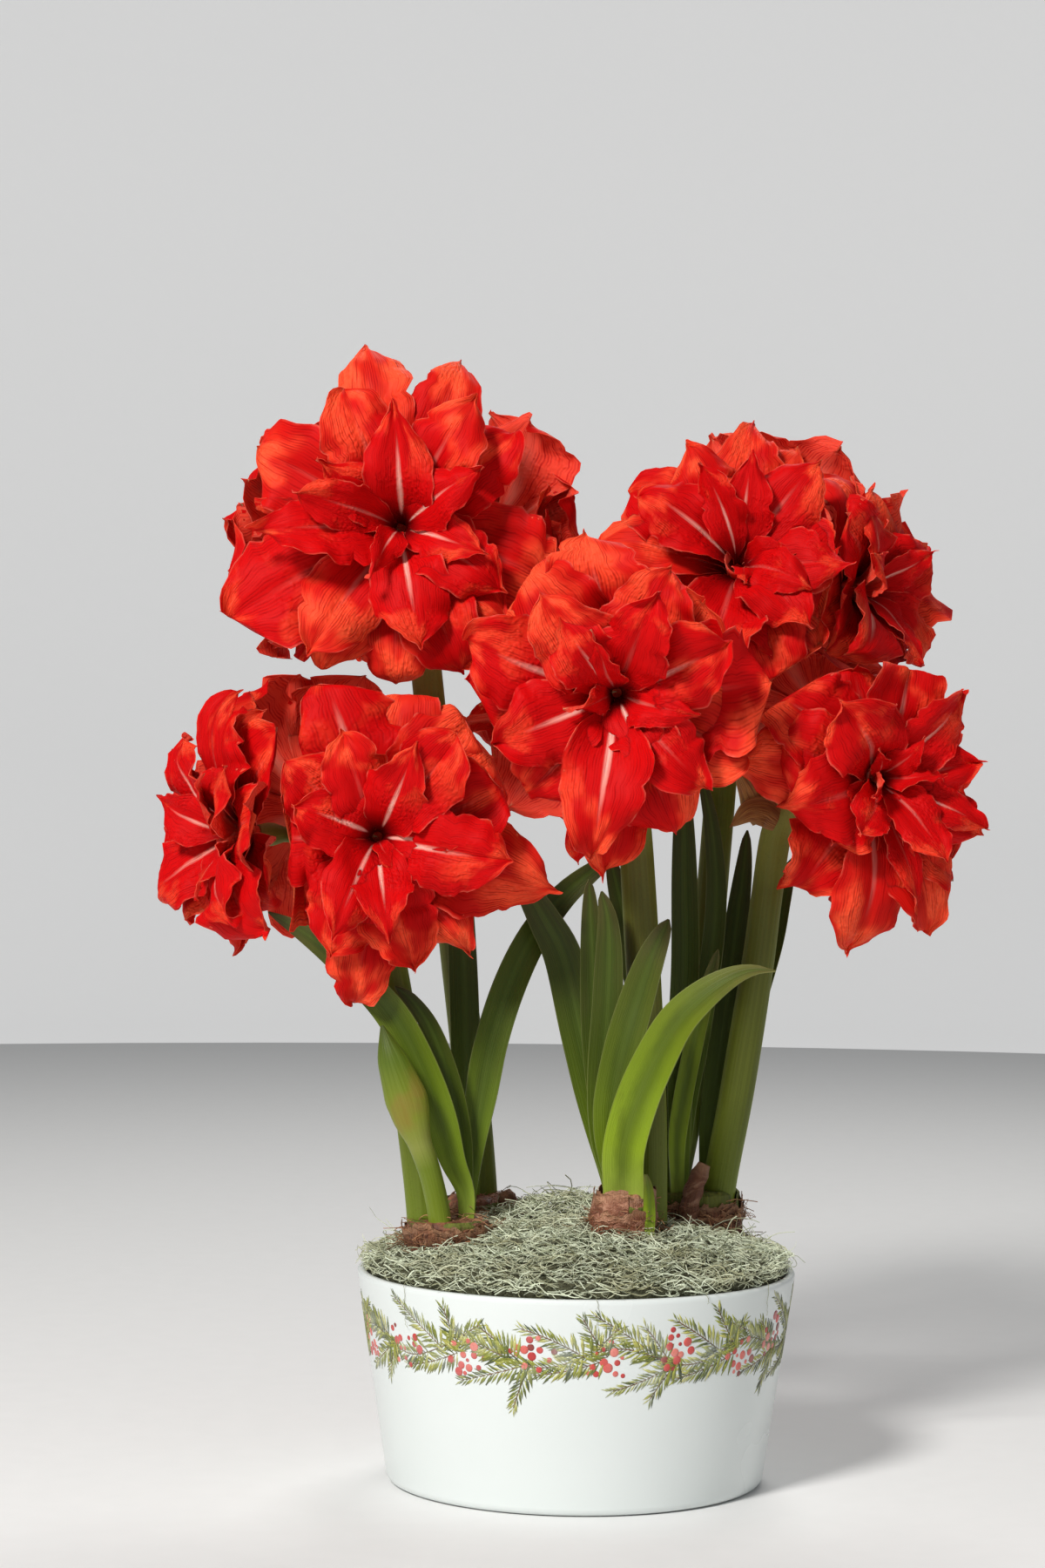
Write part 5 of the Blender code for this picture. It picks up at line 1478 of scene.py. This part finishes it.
# Studio: lights as name, place, aim, size in metres, power and colour; and the camera
FLOOR_HEIGHT = -0.4
LIGHTS = (
    ("key", (-1.2, -2.0, 1.95), (0, 0, 0.33), 0.6, 86.0, (1.0, 0.98, 0.95)),
    ("fill", (1.7, -1.9, 0.7), (0, 0, 0.3), 1.6, 4.0, (0.97, 0.99, 1.0)),
    ("rim", (0.4, 1.5, 2.2), (0, 0, 0.4), 0.9, 20.0, (1.0, 0.98, 0.95)),
)
CAMERA_PLACE = (-0.0312, -1.8, 0.370)
CAMERA_ROLL = 0.010
CAMERA_LENS = 77.28


def wrap_on_pot(graph, geometry):
    """Turn a flat drawing (along, up, proud) into one on the pot's cone."""
    along, height, proud = graph.position()
    turn = along / (GARLAND_RADIUS * MM)
    radius = POT_BASE_RADIUS * MM + height * POT_SLOPE + proud
    return graph.moved(geometry, turn.math("SINE") * radius, turn.math("COSINE") * radius * -1, height)


def needle_tree():
    """Needles in two rows along each sprig, shorter towards its tip."""
    graph, start = new_tree("sprig_needles", Needle="Object", Spacing="Float", Length="Float", Spread="Float",
                            Seed="Int", Material="Material")
    curves = graph.node("GeometryNodeMeshToCurve", (), {"Mesh": start})
    caught = graph.node("GeometryNodeCaptureAttribute", {"captures": [("Far", "FLOAT")]}, {
        "Geometry": curves, "Far": graph.node("GeometryNodeSplineParameter")})
    far = caught.output("Far")
    spots = graph.node("GeometryNodeCurveToPoints", {"mode": "LENGTH"}, {
        "Curve": caught, "Length": start.output("Spacing")})
    facing_tip = graph.node("FunctionNodeAlignRotationToVector", {"axis": "X"}, {
        "Vector": spots.output("Tangent")})
    needle = graph.shape_of(start.output("Needle"))
    rows = []
    for row, sign in enumerate((1, -1)):
        seed = start.output("Seed") + row * 7
        wobble = graph.random(0.7, 1.15, seed + 1)
        opened = start.output("Spread") * wobble * sign * (1.15 - far * 0.55)
        spun = graph.node("FunctionNodeRotateRotation", {"rotation_space": "LOCAL"}, {
            0: facing_tip, 1: graph.vector(0.0, 0.0, opened)})
        size = start.output("Length") * graph.random(0.75, 1.25, seed) * (1.05 - far * 0.5)
        rows.append(graph.toned(graph.node("GeometryNodeInstanceOnPoints", (), {
            "Points": spots, "Instance": needle, "Rotation": spun, "Scale": size}), seed + 2))
    both = graph.node("GeometryNodeJoinGeometry")
    for row in rows:
        graph.tree.links.new(row.socket, both.socket.node.inputs[0])
    return end_tree(graph, wrap_on_pot(graph, graph.realized(both)), start.output("Material"))


def twig_tree():
    """A flat painted stroke along each sprig."""
    graph, start = new_tree("sprig_twigs", Stroke="Object", Material="Material")
    curves = graph.node("GeometryNodeMeshToCurve", (), {"Mesh": start})
    profile = graph.node("GeometryNodeMeshToCurve", (), {"Mesh": graph.shape_of(start.output("Stroke"))})
    strokes = graph.node("GeometryNodeCurveToMesh", (), {
        "Curve": curves, "Profile Curve": profile, "Fill Caps": True})
    return end_tree(graph, wrap_on_pot(graph, graph.toned(strokes, 4, "POINT")), start.output("Material"))


def berry_tree():
    """A low round spot of paint at each point, of mixed sizes."""
    graph, start = new_tree("berry_spots", Berry="Object", Smallest="Float", Largest="Float", Seed="Int",
                            Material="Material")
    seed = start.output("Seed")
    size = graph.random(start.output("Smallest"), start.output("Largest"), seed)
    placed = graph.node("GeometryNodeInstanceOnPoints", (), {
        "Points": graph.node("GeometryNodeMeshToPoints", (), {"Mesh": start}),
        "Instance": graph.shape_of(start.output("Berry")),
        "Scale": graph.vector(size, size, size * 300 + 0.5)})
    whole = graph.realized(graph.toned(placed, seed + 1))
    return end_tree(graph, wrap_on_pot(graph, whole), start.output("Material"))


def garland_line(along):
    return GARLAND_HEIGHT + 5.0 * math.sin(along * 9 * math.tau / GARLAND_LENGTH)


def sprig(start, angle, length, bend, count=10):
    """A gently bent twig in the flat drawing."""
    points = [np.array(start, dtype=float)]
    heading = math.radians(angle)
    for _ in range(count - 1):
        heading += math.radians(bend) / count
        ahead = np.array((math.cos(heading), math.sin(heading), 0.0))
        points.append(points[-1] + ahead * length / (count - 1))
    return points


def garland_sprigs(draw):
    """Four twigs at each station, and the branch that runs on to the next."""
    sprigs = []
    spacing = GARLAND_LENGTH / GARLAND_STATIONS
    for station in range(GARLAND_STATIONS):
        x = station * spacing + draw.uniform(-4, 4)
        y = garland_line(x)
        lean = 1 if station % 2 else -1
        for ahead, lower, angle, wander, shortest, longest, bend in (
                (0, 0, 150, 8, 32, 42, None), (10, 2, 206, 8, 32, 42, None),
                (4, 0, 90 + 40 * lean, 12, 18, 26, 10 * lean),
                (12, 0, 180 + 54 * lean, 10, 18, 28, 12 * lean)):
            angle = angle + draw.uniform(-wander, wander)
            length = draw.uniform(shortest, longest)
            if bend is None:
                bend = draw.uniform(4, 22) * (-1 if ahead else 1)
            sprigs.append(sprig((x + ahead, y - lower, 0), angle, length, bend))
        ahead = [x + spacing * share for share in (0.95, 0.8, 0.65, 0.5, 0.35, 0.2, 0.05)]
        sprigs.append([(place, garland_line(place), 0.0) for place in ahead])
    return sprigs


def garland_stem():
    """The wavy branch that runs all round, as one long row of points."""
    return [(along, garland_line(along), 0.0) for along in np.linspace(0, GARLAND_LENGTH, 241)]


def path_mesh(name, paths):
    points, edges = [], []
    for path in paths:
        first = len(points)
        points += list(path)
        edges += [(first + index, first + index + 1) for index in range(len(path) - 1)]
    return plain_mesh(name, points, edges)


def small_object(name, points, faces=(), edges=()):
    """A little shape for a tree to repeat; it is removed once the tree has run."""
    mesh = bpy.data.meshes.new(name)
    mesh.from_pydata(list(points), list(edges), list(faces))
    return put_in_scene(name, mesh)


def needle_shape():
    """A flat pointed leaf one unit long, thickened into a closed prism."""
    outline = [(0, 0), (0.55, -0.080), (1, 0), (0.55, 0.080)]
    points = [(x, y, 0.0) for x, y in outline] + [(x, y, 0.022) for x, y in outline]
    faces = [(3, 2, 1, 0), (4, 5, 6, 7)]
    faces += [(index, (index + 1) % 4, (index + 1) % 4 + 4, index + 4) for index in range(4)]
    return small_object("needle_shape", points, faces)


def berry_shape():
    """A flat round spot of radius one, slightly domed."""
    sides = 14
    points, faces = [], []
    for radius, height in ((1.0, 0.0), (0.94, 0.00014), (0.5, 0.00020)):
        for index in range(sides):
            turn = math.tau * index / sides
            points.append((radius * math.cos(turn), radius * math.sin(turn), height))
    for ring in range(2):
        for index in range(sides):
            after = (index + 1) % sides
            low, high = ring * sides, (ring + 1) * sides
            faces.append((low + index, low + after, high + after, high + index))
    faces.append(tuple(range(2 * sides, 3 * sides)))
    faces.append(tuple(reversed(range(sides))))
    return small_object("berry_shape", points, faces)


def stroke_shape():
    """Cross-section of a painted stroke, as a low ridge."""
    points = [(-0.00035, 0.0, 0.0), (0.0, 0.00016, 0.0), (0.00035, 0.0, 0.0), (0.0, -0.00002, 0.0)]
    return small_object("stroke_shape", points, (), [(0, 1), (1, 2), (2, 3), (3, 0)])


def berry_points(draw):
    """Loose clusters of berries along the garland."""
    points = []
    spacing = GARLAND_LENGTH / GARLAND_STATIONS
    for station in range(GARLAND_STATIONS):
        centre_x = (station + 0.35) * spacing + draw.uniform(-6, 6)
        centre_y = garland_line(centre_x) + (6 if station % 2 else -9) + draw.uniform(-3, 3)
        cluster = []
        for _ in range(60):
            turn, reach = draw.uniform(0, math.tau), draw.uniform(0.5, 11.5)
            spot = (centre_x + math.cos(turn) * reach * 1.1, centre_y + math.sin(turn) * reach, 0.0)
            if len(cluster) < 13 and all(math.dist(spot, other) > 3.4 for other in cluster):
                cluster.append(spot)
        points += cluster
    return points


def make_garland(materials):
    draw = random.Random(GARLAND_SEED)
    sprigs = garland_sprigs(draw)
    needle, berry, stroke = needle_shape(), berry_shape(), stroke_shape()
    for name, base, tree, values, finish in (
            ("garland_needles", path_mesh("sprigs", sprigs), needle_tree(),
             {"Needle": needle, "Spacing": 0.0020, "Length": 0.0094, "Spread": 0.78, "Seed": 5}, "needle"),
            ("garland_twigs", path_mesh("twigs", sprigs + [garland_stem()]), twig_tree(),
             {"Stroke": stroke}, "twig"),
            ("garland_berries", plain_mesh("berries", berry_points(draw)), berry_tree(),
             {"Berry": berry, "Smallest": 0.0010, "Largest": 0.0026, "Seed": 9}, "berry")):
        keep(grow(name, base, tree, {**values, "Material": materials[finish]}), "pot_glaze")
    for item in (needle, berry, stroke):
        bpy.data.objects.remove(item, do_unlink=True)


def dress_nodes(materials):
    """Give the solids that stay in view their finish."""
    finishes = {"soil": "soil", "moss": "bed"}
    for name in NECKS:
        finishes["bulb_" + name] = "bulb"
    for node, finish in finishes.items():
        mesh = frame["nodes"][node].data
        mesh.materials.clear()
        mesh.materials.append(materials[finish])


def make_backdrop(name, outline, material):
    """A surface turned from an outline of radii and heights, which stands for no part."""
    turn = whole_turn(96)
    rings = np.stack([around((0, 0), radius, turn, height) for radius, height in outline])
    index = np.arange(len(outline) * len(turn)).reshape(len(outline), len(turn))
    after = np.roll(index, -1, axis=1)
    faces = np.stack([index[:-1], index[1:], after[1:], after[:-1]], axis=-1).reshape(-1, 4)
    mesh = plain_mesh(name, rings.reshape(-1, 3), (), faces.tolist())
    mesh.materials.append(material)
    mesh.shade_smooth()
    item = put_in_scene(name, mesh)
    return item


def make_studio(materials):
    """Pale floor that sweeps up far behind."""
    floor = [(radius, FLOOR_HEIGHT) for radius in (1, 600, 1500, 3000)]
    make_backdrop("studio_floor", floor, materials["floor"])
    bend = [(3000 + 1500 * math.sin(turn), FLOOR_HEIGHT + 1500 * (1 - math.cos(turn)))
            for turn in np.linspace(0, math.pi / 2, 14)]
    sweep = make_backdrop("studio_sweep", bend + [(4500, 6000)], materials["backdrop"])
    sweep.visible_diffuse = sweep.visible_glossy = sweep.visible_shadow = False


def add_light(name, place, aim, size, power, colour):
    lamp = bpy.data.lights.new(name, "AREA")
    lamp.shape = "DISK"
    lamp.size = size
    lamp.energy = power
    lamp.color = colour
    item = put_in_scene(name, lamp)
    item.matrix_world = Matrix.Translation(place) @ look_matrix(unit(np.array(aim) - np.array(place)))


def look_matrix(towards):
    """Rotation that points -Z along a direction."""
    right = unit(np.cross(UP, -towards))
    upward = np.cross(-towards, right)
    return Matrix(np.stack([right, upward, -towards], axis=1).tolist()).to_4x4()


def set_lights():
    for row in LIGHTS:
        add_light(*row)
    world = bpy.data.worlds.new("surround")
    world.use_nodes = True
    surround = world.node_tree.nodes["Background"]
    surround.inputs[0].default_value = (0.94, 0.97, 1.0, 1.0)
    surround.inputs[1].default_value = 0.22
    bpy.context.scene.world = world
    bpy.context.scene.view_settings.view_transform = "Standard"


def set_camera():
    lens = bpy.data.cameras.new("camera")
    lens.sensor_fit = "VERTICAL"
    lens.sensor_height = lens.sensor_width = 36
    lens.lens = CAMERA_LENS
    lens.clip_start = 0.05
    camera = put_in_scene("camera", lens)
    camera.matrix_world = (Matrix.Translation(CAMERA_PLACE) @ Matrix.Rotation(math.pi / 2, 4, "X")
                           @ Matrix.Rotation(CAMERA_ROLL, 4, "Z"))
    bpy.context.scene.camera = camera


def build():
    materials = make_materials()
    for make in (make_blooms, make_scapes, make_bud, make_leaves, make_spathes, make_tunics, make_pot,
                 make_moss, make_garland, dress_nodes, make_studio):
        make(materials)
    set_lights()
    set_camera()


build()
